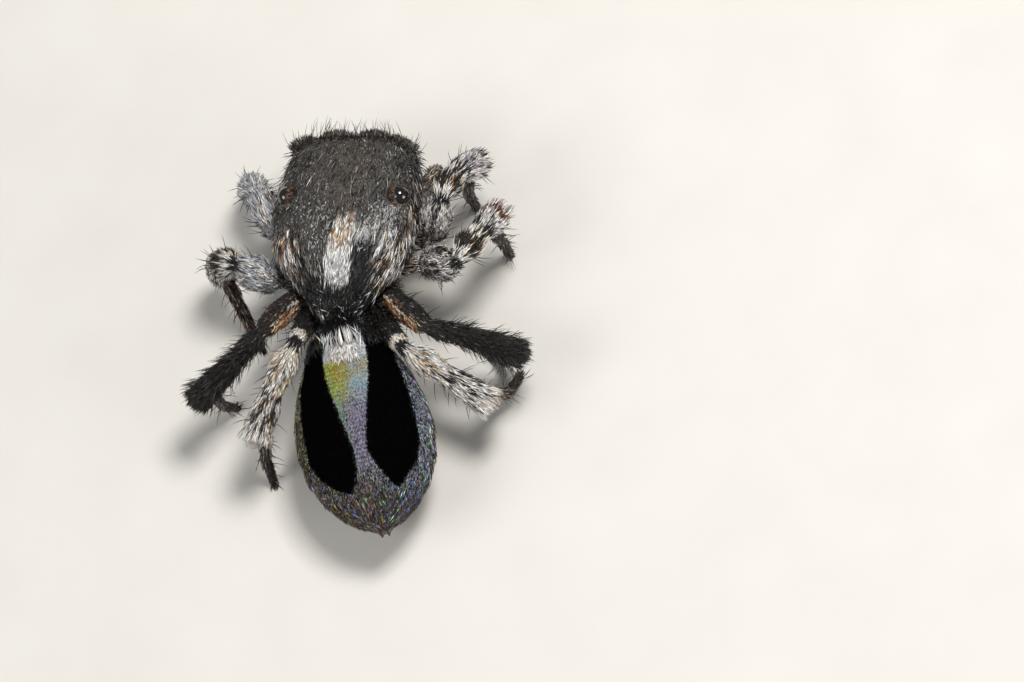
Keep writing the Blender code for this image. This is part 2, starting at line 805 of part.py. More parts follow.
def build_chelicera(name, side, frame):
    """One jaw below the face, with its fang folded in across the tip."""
    rows = (
        (-0.05, 1.78, 0.135, 0.12),
        (-0.16, 1.80, 0.155, 0.13),
        (-0.30, 1.79, 0.145, 0.12),
        (-0.42, 1.76, 0.115, 0.10),
        (-0.48, 1.74, 0.075, 0.07),
    )
    rings = []
    for height, forward, half_width, half_depth in rows:
        ring = []
        for index in range(12):
            angle = math.tau * index / 12
            ring.append(frame @ Vector((
                side * 0.175 + half_width * math.cos(angle),
                forward + half_depth * math.sin(angle),
                height,
            )))
        rings.append(ring)
    jaw = to_object(name, skin(rings))
    start = frame @ Vector((side * 0.20, 1.72, -0.43))
    middle = frame @ Vector((side * 0.15, 1.66, -0.53))
    tip = frame @ Vector((side * 0.05, 1.60, -0.55))
    path = rounded_path([start, middle, tip], (0.0, 0.08, 0.0), 2, 3)
    fang = to_object("fang", skin(tube_rings(
        path, ((0.0, 0.034), (1.0, 0.010)), 6, Vector((0.0, 1.0, 0.0)),
    )))
    combine(jaw, [fang], "UNION")
    return jaw


def build_palp(name, side, frame):
    """One feeler beside the jaws, bent down, with the swollen last joint of a male."""
    places = (
        (0.38, 1.46, -0.18),
        (0.60, 1.70, -0.20),
        (0.78, 1.88, -0.16),
        (0.76, 2.02, -0.34),
        (0.66, 2.08, -0.50),
    )
    line = [frame @ Vector((side * out, forward, lift)) for out, forward, lift in places]
    girth = ((0.0, 0.075), (0.3, 0.095), (0.55, 0.085), (0.68, 0.095), (0.85, 0.125), (1.0, 0.04))
    path = rounded_path(line, (0.0, 0.12, 0.12, 0.12, 0.0), 3, 3)
    level = Vector((1.0, 0.0, 0.0))
    return to_object(name, skin(tube_rings(path, girth, 10, level)))


def build_pedicel(forebody, hindbody):
    """The narrow waist between carapace and abdomen, square to both at its ends."""
    middle_height = 0.04
    path = []
    for place, direction in (
        (forebody @ Vector((0.0, -GAP, middle_height)), forebody.to_3x3() @ Vector((0, -1, 0))),
        (hindbody @ Vector((0.0, -GAP, 0.0)), hindbody.to_3x3() @ Vector((0, 1, 0))),
    ):
        path.append((place, direction, 0.0))
    middle = (0.5 * (path[0][0] + path[1][0]), (path[0][1] + path[1][1]).normalized(), 0.0)
    path.insert(1, middle)
    girth = ((0.0, PEDICEL_RADIUS), (0.5, 0.8 * PEDICEL_RADIUS), (1.0, PEDICEL_RADIUS))
    return to_object("pedicel", skin(tube_rings(path, girth, 12, Vector((1.0, 0.0, 0.0)))))


def build_abdomen(frame):
    """Egg-shaped abdomen with a flattened back, widest behind its middle."""
    rings = []
    sections = [
        (
            share * ABDOMEN_LENGTH, width * ABDOMEN_HALF_WIDTH,
            top * ABDOMEN_TOP, -bottom * ABDOMEN_BOTTOM, ABDOMEN_CORNER, ABDOMEN_UNDER,
        )
        for share, width, top, bottom in ABDOMEN_SECTIONS
    ]
    for section in sections:
        rings.append(squared_ring(frame, *section))
    body = to_object("abdomen", skin(rings))
    combine(body, body_locks(frame, sections, ABDOMEN_LOCKS, "abdomen"), "UNION")
    return body


def build_spinnerets(frame):
    """A short base behind the tail with two pairs of spinnerets fused into it."""
    rows = ((ABDOMEN_LENGTH + GAP, 0.11, 0.04, -0.13), (ABDOMEN_LENGTH + 0.05, 0.09, 0.02, -0.12))
    base = to_object("spinnerets", skin([
        squared_ring(frame, back, half_width, top, bottom, 0.8, FLAT_UNDER, 12)
        for back, half_width, top, bottom in rows
    ]))
    cones = []
    for out, lift in ((0.045, -0.01), (-0.045, -0.01), (0.04, -0.085), (-0.04, -0.085)):
        start = frame @ Vector((0.8 * out, ABDOMEN_LENGTH + 0.035, lift))
        end = frame @ Vector((1.1 * out, ABDOMEN_LENGTH + 0.10, lift - 0.03))
        cones.append(to_object("cone", barrel(start, end, 0.038, 0.020, 8)))
    combine(base, cones, "UNION")
    return base


def main():
    """Build every node, then scale and dress them."""
    clear_scene()
    charcoal = material("charcoal scales", (0.020, 0.020, 0.022), 0.55)
    horn = material("dark horn", (0.030, 0.018, 0.012), 0.35)
    pale = material("grey white coat", (0.42, 0.38, 0.33), 0.70)
    black = material("black brush", (0.010, 0.010, 0.012), 0.60)
    glass = material("eye lens", (0.004, 0.003, 0.003), 0.05)
    fan = material("abdomen scales", (0.030, 0.040, 0.080), 0.30)
    forebody = forebody_frame()
    hindbody = hindbody_frame()
    finish(build_carapace(forebody), charcoal)
    finish(build_sternum(forebody), horn)
    finish(build_mouth(forebody), horn)
    finish(build_pedicel(forebody, hindbody), horn)
    finish(build_abdomen(hindbody), fan)
    finish(build_spinnerets(hindbody), horn)
    for eye in build_eyes(forebody).values():
        finish(eye, glass)
    for side_name, side in (("right", 1.0), ("left", -1.0)):
        finish(build_chelicera(f"chelicera_{side_name}", side, forebody), horn)
        finish(build_palp(f"palp_{side_name}", side, forebody), pale)
    for name in LEG_POSES:
        coat = black if name.endswith("3") else pale
        for part, made in Leg(name, forebody).build().items():
            finish(made, pale if part.startswith("foot") else coat)
    centre_on_origin()


main()
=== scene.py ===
"""Looks of a male peacock spider: skin, scales, hairs, eyes, floor, lights and camera."""

import logging
import math
from dataclasses import dataclass, replace
from enum import Enum
from typing import Callable

import bpy
import numpy as np
from mathutils import Matrix, Vector
from mathutils.kdtree import KDTree


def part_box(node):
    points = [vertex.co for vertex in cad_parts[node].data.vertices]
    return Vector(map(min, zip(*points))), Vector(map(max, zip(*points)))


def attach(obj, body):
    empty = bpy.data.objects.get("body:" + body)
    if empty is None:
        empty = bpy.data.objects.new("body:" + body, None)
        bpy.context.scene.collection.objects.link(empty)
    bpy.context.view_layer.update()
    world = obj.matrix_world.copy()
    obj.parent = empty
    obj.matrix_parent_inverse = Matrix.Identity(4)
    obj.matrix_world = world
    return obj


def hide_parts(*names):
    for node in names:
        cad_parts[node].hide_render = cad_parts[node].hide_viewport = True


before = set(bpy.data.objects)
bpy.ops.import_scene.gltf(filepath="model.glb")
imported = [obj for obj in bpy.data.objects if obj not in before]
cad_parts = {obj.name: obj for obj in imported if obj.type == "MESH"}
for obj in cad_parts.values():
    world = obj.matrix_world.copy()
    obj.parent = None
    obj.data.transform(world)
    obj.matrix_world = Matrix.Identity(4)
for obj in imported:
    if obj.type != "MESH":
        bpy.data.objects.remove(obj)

LOG = logging.getLogger("spider")
Array = np.ndarray
Draw = np.random.Generator | None
Density = Callable[[Array, Array], Array]
Marking = Callable[[Array, Array, Array, Array, Draw], Array]
MM = 0.001
UP = np.array((0.0, 0.0, 1.0))

# Sizes in millimetres, right (R), forward (F) and up (U) from the waist, as in the solids.
GAP = 0.024
WAIST_HEIGHT = 1.00
FOREBODY_PITCH = math.radians(-10.0)
FOREBODY_ROLL = math.radians(-3.5)
CARAPACE_RIM = -0.02
SOCKET_WALL = 0.035
ABDOMEN_LENGTH = 2.42
ABDOMEN_HALF_WIDTH = 0.80
ABDOMEN_TOP = 0.44
ABDOMEN_BOTTOM = 0.62
ABDOMEN_UNDER = 0.88
FLAT_UNDER = 0.45
ABDOMEN_FRONT = (0.05, -0.19, 1.01)
ABDOMEN_YAW = math.radians(17.0)
ABDOMEN_PITCH = math.radians(5.0)
ROOT_JOINT = 0.078
KNEE_JOINT = 0.086
FOOT_TOP = 0.085
ANKLE_INSET = 0.13

# How deep the coat lies over the skin, and how fine the skin is.
BODY_COAT = 0.016
LEG_COAT = 0.022
SKIN_GRAIN = 0.019

# Below this linear brightness the skin takes the dull finish; the next number darkens the skin under the
# coat as painted shade.
BLACK_LIMIT = 0.006
SKIN_PAINTED_SHADE = 0.5

COAT_SEED = 11
PICTURE = (1024.0, 682.0)
WHOLE = ((0.0, 0.0), (1.0, 1.0))
PARTS = ("coxa", "femur", "shin", "foot")


class Side(Enum):
    """The two sides of the animal, with the sign of R on each."""

    RIGHT = 1.0
    LEFT = -1.0


def linear(colour: str) -> Array:
    """Turn an sRGB hex colour into linear light.

    Args:
        colour: Six hex digits after a hash sign.

    Returns:
        Three numbers from 0 to 1.
    """
    parts = np.array([int(colour[i:i + 2], 16) for i in (1, 3, 5)]) / 255.0
    return np.where(parts <= 0.04045, parts / 12.92, ((parts + 0.055) / 1.055) ** 2.4)


def unit(vectors: Array) -> Array:
    """Scale vectors to length one."""
    return vectors / np.maximum(np.linalg.norm(vectors, axis=-1, keepdims=True), 1e-12)


def smooth_step(low: float, high: float, values: Array) -> Array:
    """Ease from 0 at low to 1 at high."""
    part = np.clip((values - low) / (high - low), 0.0, 1.0)
    return part * part * (3.0 - 2.0 * part)


def smooth_table(table: tuple, shares: Array) -> Array:
    """Read a table of (share, value) rows with a smooth step between rows.

    Args:
        table: Rows in rising order of share.
        shares: Where to read it.

    Returns:
        One value for each share.
    """
    at = np.array([row[0] for row in table])
    value = np.array([row[1] for row in table])
    after = np.clip(np.searchsorted(at, shares), 1, len(at) - 1)
    part = np.clip((shares - at[after - 1]) / (at[after] - at[after - 1]), 0.0, 1.0)
    part = part * part * (3.0 - 2.0 * part)
    return value[after - 1] + (value[after] - value[after - 1]) * part


def forebody_frame() -> Array:
    """Place and tilt of the forebody."""
    tilt = Matrix.Rotation(FOREBODY_PITCH, 4, "X") @ Matrix.Rotation(FOREBODY_ROLL, 4, "Y")
    return np.array(Matrix.Translation((0.0, 0.0, WAIST_HEIGHT)) @ tilt)


def hindbody_frame() -> Array:
    """Place and tilt of the abdomen, whose y axis runs back to its tail."""
    turn = Matrix.Rotation(ABDOMEN_YAW + math.pi, 4, "Z") @ Matrix.Rotation(-ABDOMEN_PITCH, 4, "X")
    return np.array(Matrix.Translation(ABDOMEN_FRONT) @ turn)


def moved(place: Array, points: Array) -> Array:
    """Carry points from a body's own axes to the animal's."""
    return points @ place[:3, :3].T + place[:3, 3]


def heading_vector(heading: float, rise: float) -> Array:
    """Unit vector for a heading to the right of ahead and a rise, in degrees."""
    turn, lift = math.radians(heading), math.radians(rise)
    return np.array((
        math.sin(turn) * math.cos(lift), math.cos(turn) * math.cos(lift), math.sin(lift),
    ))


class Placing:
    """Carries the animal's own axes in millimetres to the frame's axes in metres."""

    def __init__(self) -> None:
        """Find the shift that centred the solids, from one eye whose place is known."""
        low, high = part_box("eye_rear_side_right")
        seen = 0.5 * (np.array(low) + np.array(high)) / MM
        known = moved(forebody_frame(), np.array([(0.665, 1.24, 0.495)]))[0]
        self.shift = seen - known * np.array((-1.0, -1.0, 1.0))
        self.shift[2] = 0.0

    def to_row(self, points: Array) -> Array:
        """Millimetres in (R, F, U) to metres in the frame."""
        return (points * np.array((-1.0, -1.0, 1.0)) + self.shift) * MM

    def from_row(self, points: Array) -> Array:
        """Metres in the frame to millimetres in (R, F, U)."""
        return (points / MM - self.shift) * np.array((-1.0, -1.0, 1.0))


def ring_faces(rows: int, columns: int) -> list[tuple]:
    """Faces of a closed form, whose two end points are numbered after its rings.

    Args:
        rows: Number of rings.
        columns: Number of corners round it.

    Returns:
        Point numbers of each face.
    """
    pairs = [(column, (column + 1) % columns) for column in range(columns)]
    faces = [
        (a + column, a + after, a + columns + after, a + columns + column)
        for a in range(0, (rows - 1) * columns, columns) for column, after in pairs
    ]
    start, last = rows * columns, (rows - 1) * columns
    for column, after in pairs:
        faces += [(start, after, column), (start + 1, last + column, last + after)]
    return faces


class Surface:
    """A closed form with a place, a normal and a lie at each (u, v) from 0 to 1."""

    name: str
    cells = (90, 72)
    coat = LEG_COAT

    def place(self, u: Array, v: Array, depth: float = 0.0) -> Array:
        """Points on the surface, drawn in by a depth."""
        raise NotImplementedError

    def frame_at(self, u: Array, v: Array, depth: float = 0.0) -> tuple[Array, Array, Array]:
        """Points, outward normals and unit vectors towards growing u."""
        step_u, step_v = 0.004, 0.003
        low, high = np.clip(u - step_u, 0, 1), np.clip(u + step_u, 0, 1)
        along = self.place(high, v, depth) - self.place(low, v, depth)
        over = self.place(u, v + step_v, depth) - self.place(u, v - step_v, depth)
        points = self.place(u, v, depth)
        normal = unit(np.cross(along, over)) * self.turn()
        return points, normal, unit(along)

    def turn(self) -> float:
        """Sign that makes the normals point outward."""
        return 1.0

    def grid(self, rows: int, columns: int, depth: float, reach: float = 0.0) -> tuple:
        """Closed mesh of the surface.

        Args:
            rows: Rings along it.
            columns: Corners round it.
            depth: How far it is drawn in, in millimetres.
            reach: How far its two ends are pushed out.

        Returns:
            Points and faces.
        """
        share = np.linspace(0.0, 1.0, rows)
        round_ = np.arange(columns) / columns
        u, v = np.meshgrid(share, round_, indexing="ij")
        points = self.place(u.ravel(), v.ravel(), depth).reshape(rows, columns, 3)
        if reach:
            for end, inner in ((0, 1), (-1, -2)):
                way = unit(points[end].mean(0) - points[inner].mean(0))
                points[end] += way * reach
        middles = np.array((points[0].mean(0), points[-1].mean(0)))
        return np.vstack((points.reshape(-1, 3), middles)), ring_faces(rows, columns)

    def scatter(self, count: int, seed: int, density: Density | None = None) -> tuple:
        """Draw places on the surface, evenly by area or by a density.

        Args:
            count: How many to draw.
            seed: Seed of the draw.
            density: Function of (u, v) that weights the draw.

        Returns:
            Arrays of u and v.
        """
        draw = np.random.default_rng(seed)
        rows, columns = self.cells
        u0 = (np.arange(rows) + 0.5) / rows
        v0 = (np.arange(columns) + 0.5) / columns
        u, v = (grid.ravel() for grid in np.meshgrid(u0, v0, indexing="ij"))
        half_u, half_v = 0.5 / rows, 0.5 / columns
        along = self.place(np.clip(u + half_u, 0, 1), v) - self.place(np.clip(u - half_u, 0, 1), v)
        over = self.place(u, v + half_v) - self.place(u, v - half_v)
        weight = np.linalg.norm(np.cross(along, over), axis=1)
        if density is not None:
            weight = weight * density(u, v)
        cells = draw.choice(len(u), size=count, p=weight / weight.sum())
        jitter_u = draw.uniform(-half_u, half_u, count)
        jitter_v = draw.uniform(-half_v, half_v, count)
        return np.clip(u[cells] + jitter_u, 0.0, 1.0), (v[cells] + jitter_v) % 1.0


class Loft(Surface):
    """A body lofted through rounded sections; v runs from its right side over the top."""

    cells = (240, 220)
    coat = BODY_COAT

    def __init__(self, name: str, frame_: Array, sections: tuple, under: float = FLAT_UNDER) -> None:
        """Smooth the sections into one table.

        Args:
            name: Name of the body.
            frame_: Its place and tilt.
            sections: Rows of (along, half width, top, bottom, corner power).
            under: Corner power of the lower half, from 0, a box, to 1, an ellipse.
        """
        self.name, self.under = name, under
        self.frame = frame_
        rows = np.array(sections)
        self.start, self.end = rows[0, 0], rows[-1, 0]
        self.at = np.linspace(self.start, self.end, 241)
        kernel = np.hanning(13)[1:-1]
        kernel /= kernel.sum()
        pad = len(kernel) // 2
        self.table = []
        for column in range(1, 5):
            values = np.interp(self.at, rows[:, 0], rows[:, column])
            first = 2 * values[0] - values[pad:0:-1]
            last = 2 * values[-1] - values[-2:-pad - 2:-1]
            self.table.append(np.convolve(np.hstack((first, values, last)), kernel, "valid"))

    def local(self, u: Array, v: Array, depth: float = 0.0) -> Array:
        """Points in the body's own axes."""
        along = self.start + (self.end - self.start) * u
        half, top, bottom, corner = (np.interp(along, self.at, column) for column in self.table)
        half, top, bottom = half - depth, top - depth, bottom + depth
        across, rise = np.cos(2 * np.pi * v), np.sin(2 * np.pi * v)
        power = np.where(rise > 0.0, corner, self.under)
        reach = (np.abs(across) ** (2 / power) + np.abs(rise) ** (2 / power)) ** (-0.5 * power)
        middle, height = 0.5 * (top + bottom), 0.5 * (top - bottom)
        return np.stack((half * across * reach, along, middle + height * rise * reach), axis=-1)

    def axes(self, u: Array, v: Array) -> tuple[Array, Array, Array]:
        """Side, distance along and height of places, each as one array."""
        return tuple(np.moveaxis(self.local(u, v), -1, 0))

    def place(self, u: Array, v: Array, depth: float = 0.0) -> Array:
        """Points on the surface, drawn in by a depth."""
        return moved(self.frame, self.local(u, v, depth))


class Cap(Surface):
    """The closed end of a loft; u runs from its middle to its edge."""

    cells = (60, 90)
    coat = 0.0

    def __init__(self, name: str, loft: Loft, end: float) -> None:
        """Keep the loft and which of its ends this is."""
        self.name, self.loft, self.end = name, loft, end
        self.ahead = unit(loft.frame[:3, 1]) * (1.0 if end > 0.5 else -1.0)

    def place(self, u: Array, v: Array, depth: float = 0.0) -> Array:
        """Points on the end, drawn in by a depth and slightly domed."""
        rim = self.loft.place(np.full(np.shape(u), self.end), v)
        middle = self.loft.place(np.full(4, self.end), np.arange(4) / 4).mean(0)
        share = np.clip(u, 0.0, 1.0)[..., None]
        return middle + (rim - middle) * share - self.ahead * depth

    def turn(self) -> float:
        """On the front end, along crossed with over points out."""
        points = self.place(np.array((0.5, 0.6, 0.5)), np.array((0.2, 0.2, 0.21)))
        found = np.cross(points[1] - points[0], points[2] - points[0])
        return float(np.sign(found @ self.ahead))


def rounded_path(points: list, bends: tuple, straight: int = 8, bend: int = 10) -> tuple:
    """Follow a line of points with its corners rounded.

    Args:
        points: Corners of the line.
        bends: Radius of each corner.
        straight: Steps along a straight run.
        bend: Steps round a corner.

    Returns:
        Places, directions and the count of points passed.
    """
    cuts = [0.0] * len(points)
    for index in range(1, len(points) - 1):
        into, out = points[index] - points[index - 1], points[index + 1] - points[index]
        cosine = float(np.dot(unit(into), unit(out)))
        shortest = min(np.linalg.norm(into), np.linalg.norm(out))
        half_turn = 0.5 * math.acos(max(-1.0, min(1.0, cosine)))
        cuts[index] = min(bends[index] * math.tan(half_turn), 0.46 * shortest)
    rows = []
    for index in range(len(points) - 1):
        run = points[index + 1] - points[index]
        length = float(np.linalg.norm(run))
        ahead = run / length
        for step in range(straight + 1):
            along = cuts[index] + (length - cuts[index] - cuts[index + 1]) * step / straight
            rows.append((points[index] + ahead * along, ahead, index + along / length))
        if index + 2 < len(points):
            out = unit(points[index + 2] - points[index + 1])
            corner, cut = points[index + 1], cuts[index + 1]
            for step in range(1, bend):
                part = step / bend
                first, last = corner - ahead * cut, corner + out * cut
                spot = first * (1 - part) ** 2 + corner * 2 * part * (1 - part) + last * part**2
                way = unit(ahead * (1 - part) + out * part)
                rows.append((spot, way, index + 1 + cut / length * (2 * part - 1)))
    return tuple(np.array(column) for column in zip(*rows))


class Tube(Surface):
    """A limb's length round a path; v runs from the side of its first row."""

    def __init__(self, name: str, path: tuple, girth: tuple, first_side: Array | None = None) -> None:
        """Carry a side vector along the path.

        Args:
            name: Name of the tube.
            path: Places, directions and shares.
            girth: Rows of (share, half thickness).
            first_side: Where v starts at the first row.
        """
        self.name = name
        self.girth = girth
        self.places, self.ways, _ = path
        steps = np.linalg.norm(np.diff(self.places, axis=0), axis=1)
        self.length = float(steps.sum())
        self.share = np.hstack((0.0, np.cumsum(steps))) / self.length
        side = unit(np.cross(self.ways[0], UP)) if first_side is None else first_side
        sides = []
        for way in self.ways:
            side = unit(side - way * np.dot(side, way))
            sides.append(side)
        self.sides = np.array(sides)

    def place(self, u: Array, v: Array, depth: float = 0.0) -> Array:
        """Points on the surface, drawn in by a depth.

        Args:
            u: Places along the surface, from 0 to 1.
            v: Places round it, from 0 to 1.
            depth: How far the surface is drawn in.

        Returns:
            Points in millimetres.
        """
        u = np.clip(u, 0.0, 1.0)
        spot, way, side = (
            np.stack([np.interp(u, self.share, rows[:, k]) for k in range(3)], axis=-1)
            for rows in (self.places, self.ways, self.sides)
        )
        way = unit(way)
        side = unit(side - way * (side * way).sum(-1, keepdims=True))
        other = np.cross(way, side)
        half = smooth_table(self.girth, u)
        half = np.maximum(half - depth, 0.55 * half)[..., None]
        angle = 2 * np.pi * v
        return spot + half * (side * np.cos(angle)[..., None] + other * np.sin(angle)[..., None])

    def turn(self) -> float:
        """On a tube, along crossed with over points inward."""
        return -1.0


@dataclass(frozen=True)
class LegSizes:
    """Lengths of one pair of legs in millimetres and half thickness along each part."""

    femur: float
    patella: float
    tibia: float
    metatarsus: float
    tarsus: float
    femur_girth: tuple
    shin_girth: tuple
    coxa_girth: float
    root: tuple
    socket: tuple


FOOT_GIRTH = ((0.0, FOOT_TOP), (0.15, 0.090), (0.5, 0.076), (0.9, 0.062), (1.0, 0.050))
LEG_PAIRS = {
    1: LegSizes(
        0.67, 0.42, 0.40, 0.57, 0.45,
        ((0.0, ROOT_JOINT), (0.2, 0.150), (0.6, 0.188), (0.85, 0.150), (1.0, KNEE_JOINT)),
        ((0.0, KNEE_JOINT), (0.25, 0.165), (0.5, 0.140), (0.8, 0.172), (0.95, 0.165), (1.0, 0.12)),
        0.125, (1.08, 0.90, -0.21), (0.98, 0.36, -0.19),
    ),
    2: LegSizes(
        0.74, 0.46, 0.42, 0.54, 0.45,
        ((0.0, ROOT_JOINT), (0.2, 0.165), (0.6, 0.208), (0.85, 0.160), (1.0, KNEE_JOINT)),
        ((0.0, KNEE_JOINT), (0.25, 0.170), (0.5, 0.145), (0.8, 0.176), (0.95, 0.170), (1.0, 0.12)),
        0.118, (0.76, 0.86, -0.22), (0.73, 0.36, -0.19),
    ),
    3: LegSizes(
        0.95, 0.42, 0.71, 0.64, 0.42,
        ((0.0, ROOT_JOINT), (0.15, 0.130), (0.6, 0.160), (0.87, 0.140), (1.0, 0.095)),
        ((0.0, 0.095), (0.12, 0.118), (0.4, 0.110), (0.75, 0.132), (0.96, 0.140), (1.0, 0.105)),
        0.108, (0.38, 0.50, -0.21), (0.56, 0.27, -0.17),
    ),
    4: LegSizes(
        0.72, 0.62, 0.57, 0.64, 0.40,
        ((0.0, ROOT_JOINT), (0.2, 0.108), (0.7, 0.118), (1.0, 0.088)),
        ((0.0, 0.088), (0.25, 0.168), (0.5, 0.142), (0.8, 0.172), (0.96, 0.178), (1.0, 0.135)),
        0.100, (0.04, 0.43, -0.25), (0.24, 0.27, -0.20),
    ),
}

# Heading to the right of ahead and rise, in degrees, of femur, patella, tibia and metatarsus,
# and the heading of the tarsus; then how far the coxa is swung forward, out and up.
LEG_POSES = {
    (Side.RIGHT, 1): (((40, 65), (22, 0), (36, -49), (-135, -62), -128), (0.0, 0.0, 0.0)),
    (Side.LEFT, 1): (((-31, 45), (-40, -52), (-44, -78), (112, -9), 118), (0.0, 0.0, 0.0)),
    (Side.RIGHT, 2): (((112, 47), (34, 0), (21, -35), (-158, -75), -158), (0.0, 0.0, 0.0)),
    (Side.LEFT, 2): (((-97, 63), (-66, -39), (-62, -84), (150, -28), 150), (-0.22, 0.0, -0.04)),
    (Side.RIGHT, 3): (((132, 28), (95, -20), (101, -20), (-70, -60), -60), (-0.01, -0.04, 0.01)),
    (Side.LEFT, 3): (((-160, 37), (-128, -30), (-140, -4), (40, -70), 30), (0.03, 0.05, 0.0)),
    (Side.RIGHT, 4): (((142, 38), (118, -20), (116, -18), (10, -60), 10), (-0.01, 0.03, -0.02)),
    (Side.LEFT, 4): (((176, 52), (-157, -13), (-161, -15), (-161, -84), 170), (0.0, 0.0, 0.0)),
}


class Leg:
    """One walking leg as four tubes: coxa, femur, shin and foot."""

    def __init__(self, side: Side, pair: int) -> None:
        """Place the joints and run the tubes through them.

        Args:
            side: The side of the animal.
            pair: The pair, from 1 at the front to 4.
        """
        self.side, self.pair = side, pair
        self.name = f"{side.name.lower()}_{pair}"
        self.sizes = LEG_PAIRS[pair]
        self.pose, swing = LEG_POSES[(side, pair)]
        body = forebody_frame()
        forward, out, lift = np.array(self.sizes.root) + np.array(swing)
        root = moved(body, np.array((side.value * out, forward, lift)))
        forward, out, lift = self.sizes.socket
        socket = moved(body, np.array((side.value * out, forward, lift)))
        self.points = self.joints(root)
        line = [socket] + self.points[:4]
        self.upper = rounded_path(line, (0.0, 0.13, 0.17, 0.30, 0.0))
        coxa = ((0.0, 0.62 * self.sizes.coxa_girth), (0.5, self.sizes.coxa_girth), (1.0, ROOT_JOINT))
        self.coxa = Tube(f"coxa_{self.name}", self.cut(0, 1), coxa)
        self.femur = Tube(f"femur_{self.name}", self.cut(1, 2), self.sizes.femur_girth)
        self.shin = Tube(f"shin_{self.name}", self.cut(2, 4), self.sizes.shin_girth)
        self.foot = Tube(f"foot_{self.name}", self.foot_path(), FOOT_GIRTH)
        self.tubes = (self.coxa, self.femur, self.shin, self.foot)

    def joints(self, root: Array) -> list:
        """Root, knee, shin joint, ankle, toe joint and toe tip."""
        sizes = self.sizes
        places = [root]
        for length, (heading, rise) in zip(
            (sizes.femur, sizes.patella, sizes.tibia, sizes.metatarsus), self.pose[:4]
        ):
            places.append(places[-1] + length * heading_vector(heading, rise))
        rise = -math.degrees(math.asin(min(1.0, places[-1][2] / sizes.tarsus)))
        toe = places[-1] + sizes.tarsus * heading_vector(self.pose[4], rise)
        toe[2] = 0.0
        return places + [toe]

    def cut(self, start: float, end: float) -> tuple:
        """Part of the upper path between two counts of points passed."""
        share = self.upper[2]
        kept = (share >= start - 1e-6) & (share <= end + 1e-6)
        return tuple(column[kept] for column in self.upper)

    def foot_path(self) -> tuple:
        """Rounded line of the foot, which starts inside the shin near its end."""
        _, _, shin_joint, ankle, toe_joint, toe = self.points
        shin_way, foot_way = unit(ankle - shin_joint), unit(toe_joint - ankle)
        turn = math.acos(float(np.dot(shin_way, foot_way)))
        shin_half = float(smooth_table(self.sizes.shin_girth, np.array([0.9]))[0])
        drop = (shin_half + GAP + FOOT_TOP * abs(math.cos(turn))) / math.sin(turn)
        top = ankle - shin_way * ANKLE_INSET
        path = rounded_path([top + foot_way * drop, toe_joint, toe], (0.0, 0.25, 0.0))
        inside = top + foot_way * 0.3 * drop
        return (
            np.vstack((inside, path[0])), np.vstack((foot_way, path[1])), np.hstack((0.0, path[2]))
        )


CARAPACE_SECTIONS = (
    (0.00, 0.26, 0.10, 0.80),
    (0.07, 0.32, 0.16, 0.76),
    (0.20, 0.43, 0.26, 0.74),
    (0.36, 0.56, 0.37, 0.72),
    (0.54, 0.70, 0.46, 0.70),
    (0.72, 0.78, 0.52, 0.68),
    (0.92, 0.80, 0.56, 0.66),
    (1.15, 0.82, 0.60, 0.60),
    (1.40, 0.80, 0.61, 0.55),
    (1.65, 0.77, 0.59, 0.50),
    (1.86, 0.74, 0.56, 0.48),
    (1.98, 0.68, 0.51, 0.48),
    (2.06, 0.58, 0.45, 0.52),
)
ABDOMEN_SECTIONS = (
    (0.000, 0.15, 0.20, 0.20),
    (0.020, 0.28, 0.42, 0.38),
    (0.070, 0.45, 0.66, 0.58),
    (0.160, 0.65, 0.84, 0.78),
    (0.280, 0.83, 0.94, 0.92),
    (0.420, 0.96, 1.00, 1.00),
    (0.560, 1.00, 1.00, 1.00),
    (0.700, 0.94, 0.94, 0.94),
    (0.810, 0.80, 0.82, 0.82),
    (0.900, 0.60, 0.64, 0.66),
    (0.960, 0.40, 0.44, 0.48),
    (1.000, 0.18, 0.22, 0.26),
)

# How thick the raised rim round an eye is, by how far along the eye's look it is, both as
# shares of the rim's wall and of the eye's radius.
RIM_ALONG = (-0.6, 0.0, 0.26)
RIM_WALL = (0.8, 0.4)
RIM_SINK = -0.12

# Eyes: radius, place and look in the forebody's axes, for the right side.
EYES = {
    "front_middle": (0.200, (0.225, 2.02, 0.275), (0.06, 1.0, 0.0)),
    "front_side": (0.115, (0.60, 1.93, 0.40), (0.45, 0.9, 0.15)),
    "rear_middle": (0.035, (0.725, 1.58, 0.45), (1.0, 0.1, 0.5)),
    "rear_side": (0.120, (0.665, 1.24, 0.495), (1.0, -0.05, 0.45)),
}


def rim_walls(radius: float) -> tuple[float, ...]:
    """How far the rim of an eye stands off its ball at each place along it."""
    return (RIM_SINK * radius, *(wall * SOCKET_WALL for wall in RIM_WALL))


def eye_axes(place: tuple, look: tuple, side: Side) -> tuple[Array, Array, Array, Array]:
    """Set an eye into the animal's axes.

    Args:
        place: Its centre on the right side, in the forebody's axes.
        look: Where it looks, on the right side.
        side: The side that it is on.

    Returns:
        Its centre, its look and two unit vectors across the look.
    """
    body = forebody_frame()
    flip = np.array((side.value, 1.0, 1.0))
    ahead = unit(body[:3, :3] @ (np.array(look) * flip))
    across = unit(np.cross(ahead, UP))
    return moved(body, np.array(place) * flip), ahead, across, np.cross(ahead, across)


def carapace() -> Loft:
    """The carapace without its sockets."""
    rows = tuple((a, half, top, CARAPACE_RIM, corner) for a, half, top, corner in CARAPACE_SECTIONS)
    return Loft("carapace", forebody_frame(), rows)


def abdomen() -> Loft:
    """The abdomen, flattened on its back."""
    rows = tuple(
        (share * ABDOMEN_LENGTH, width * ABDOMEN_HALF_WIDTH, top * ABDOMEN_TOP,
         -bottom * ABDOMEN_BOTTOM, 0.82)
        for share, width, top, bottom in ABDOMEN_SECTIONS
    )
    return Loft("abdomen", hindbody_frame(), rows, ABDOMEN_UNDER)


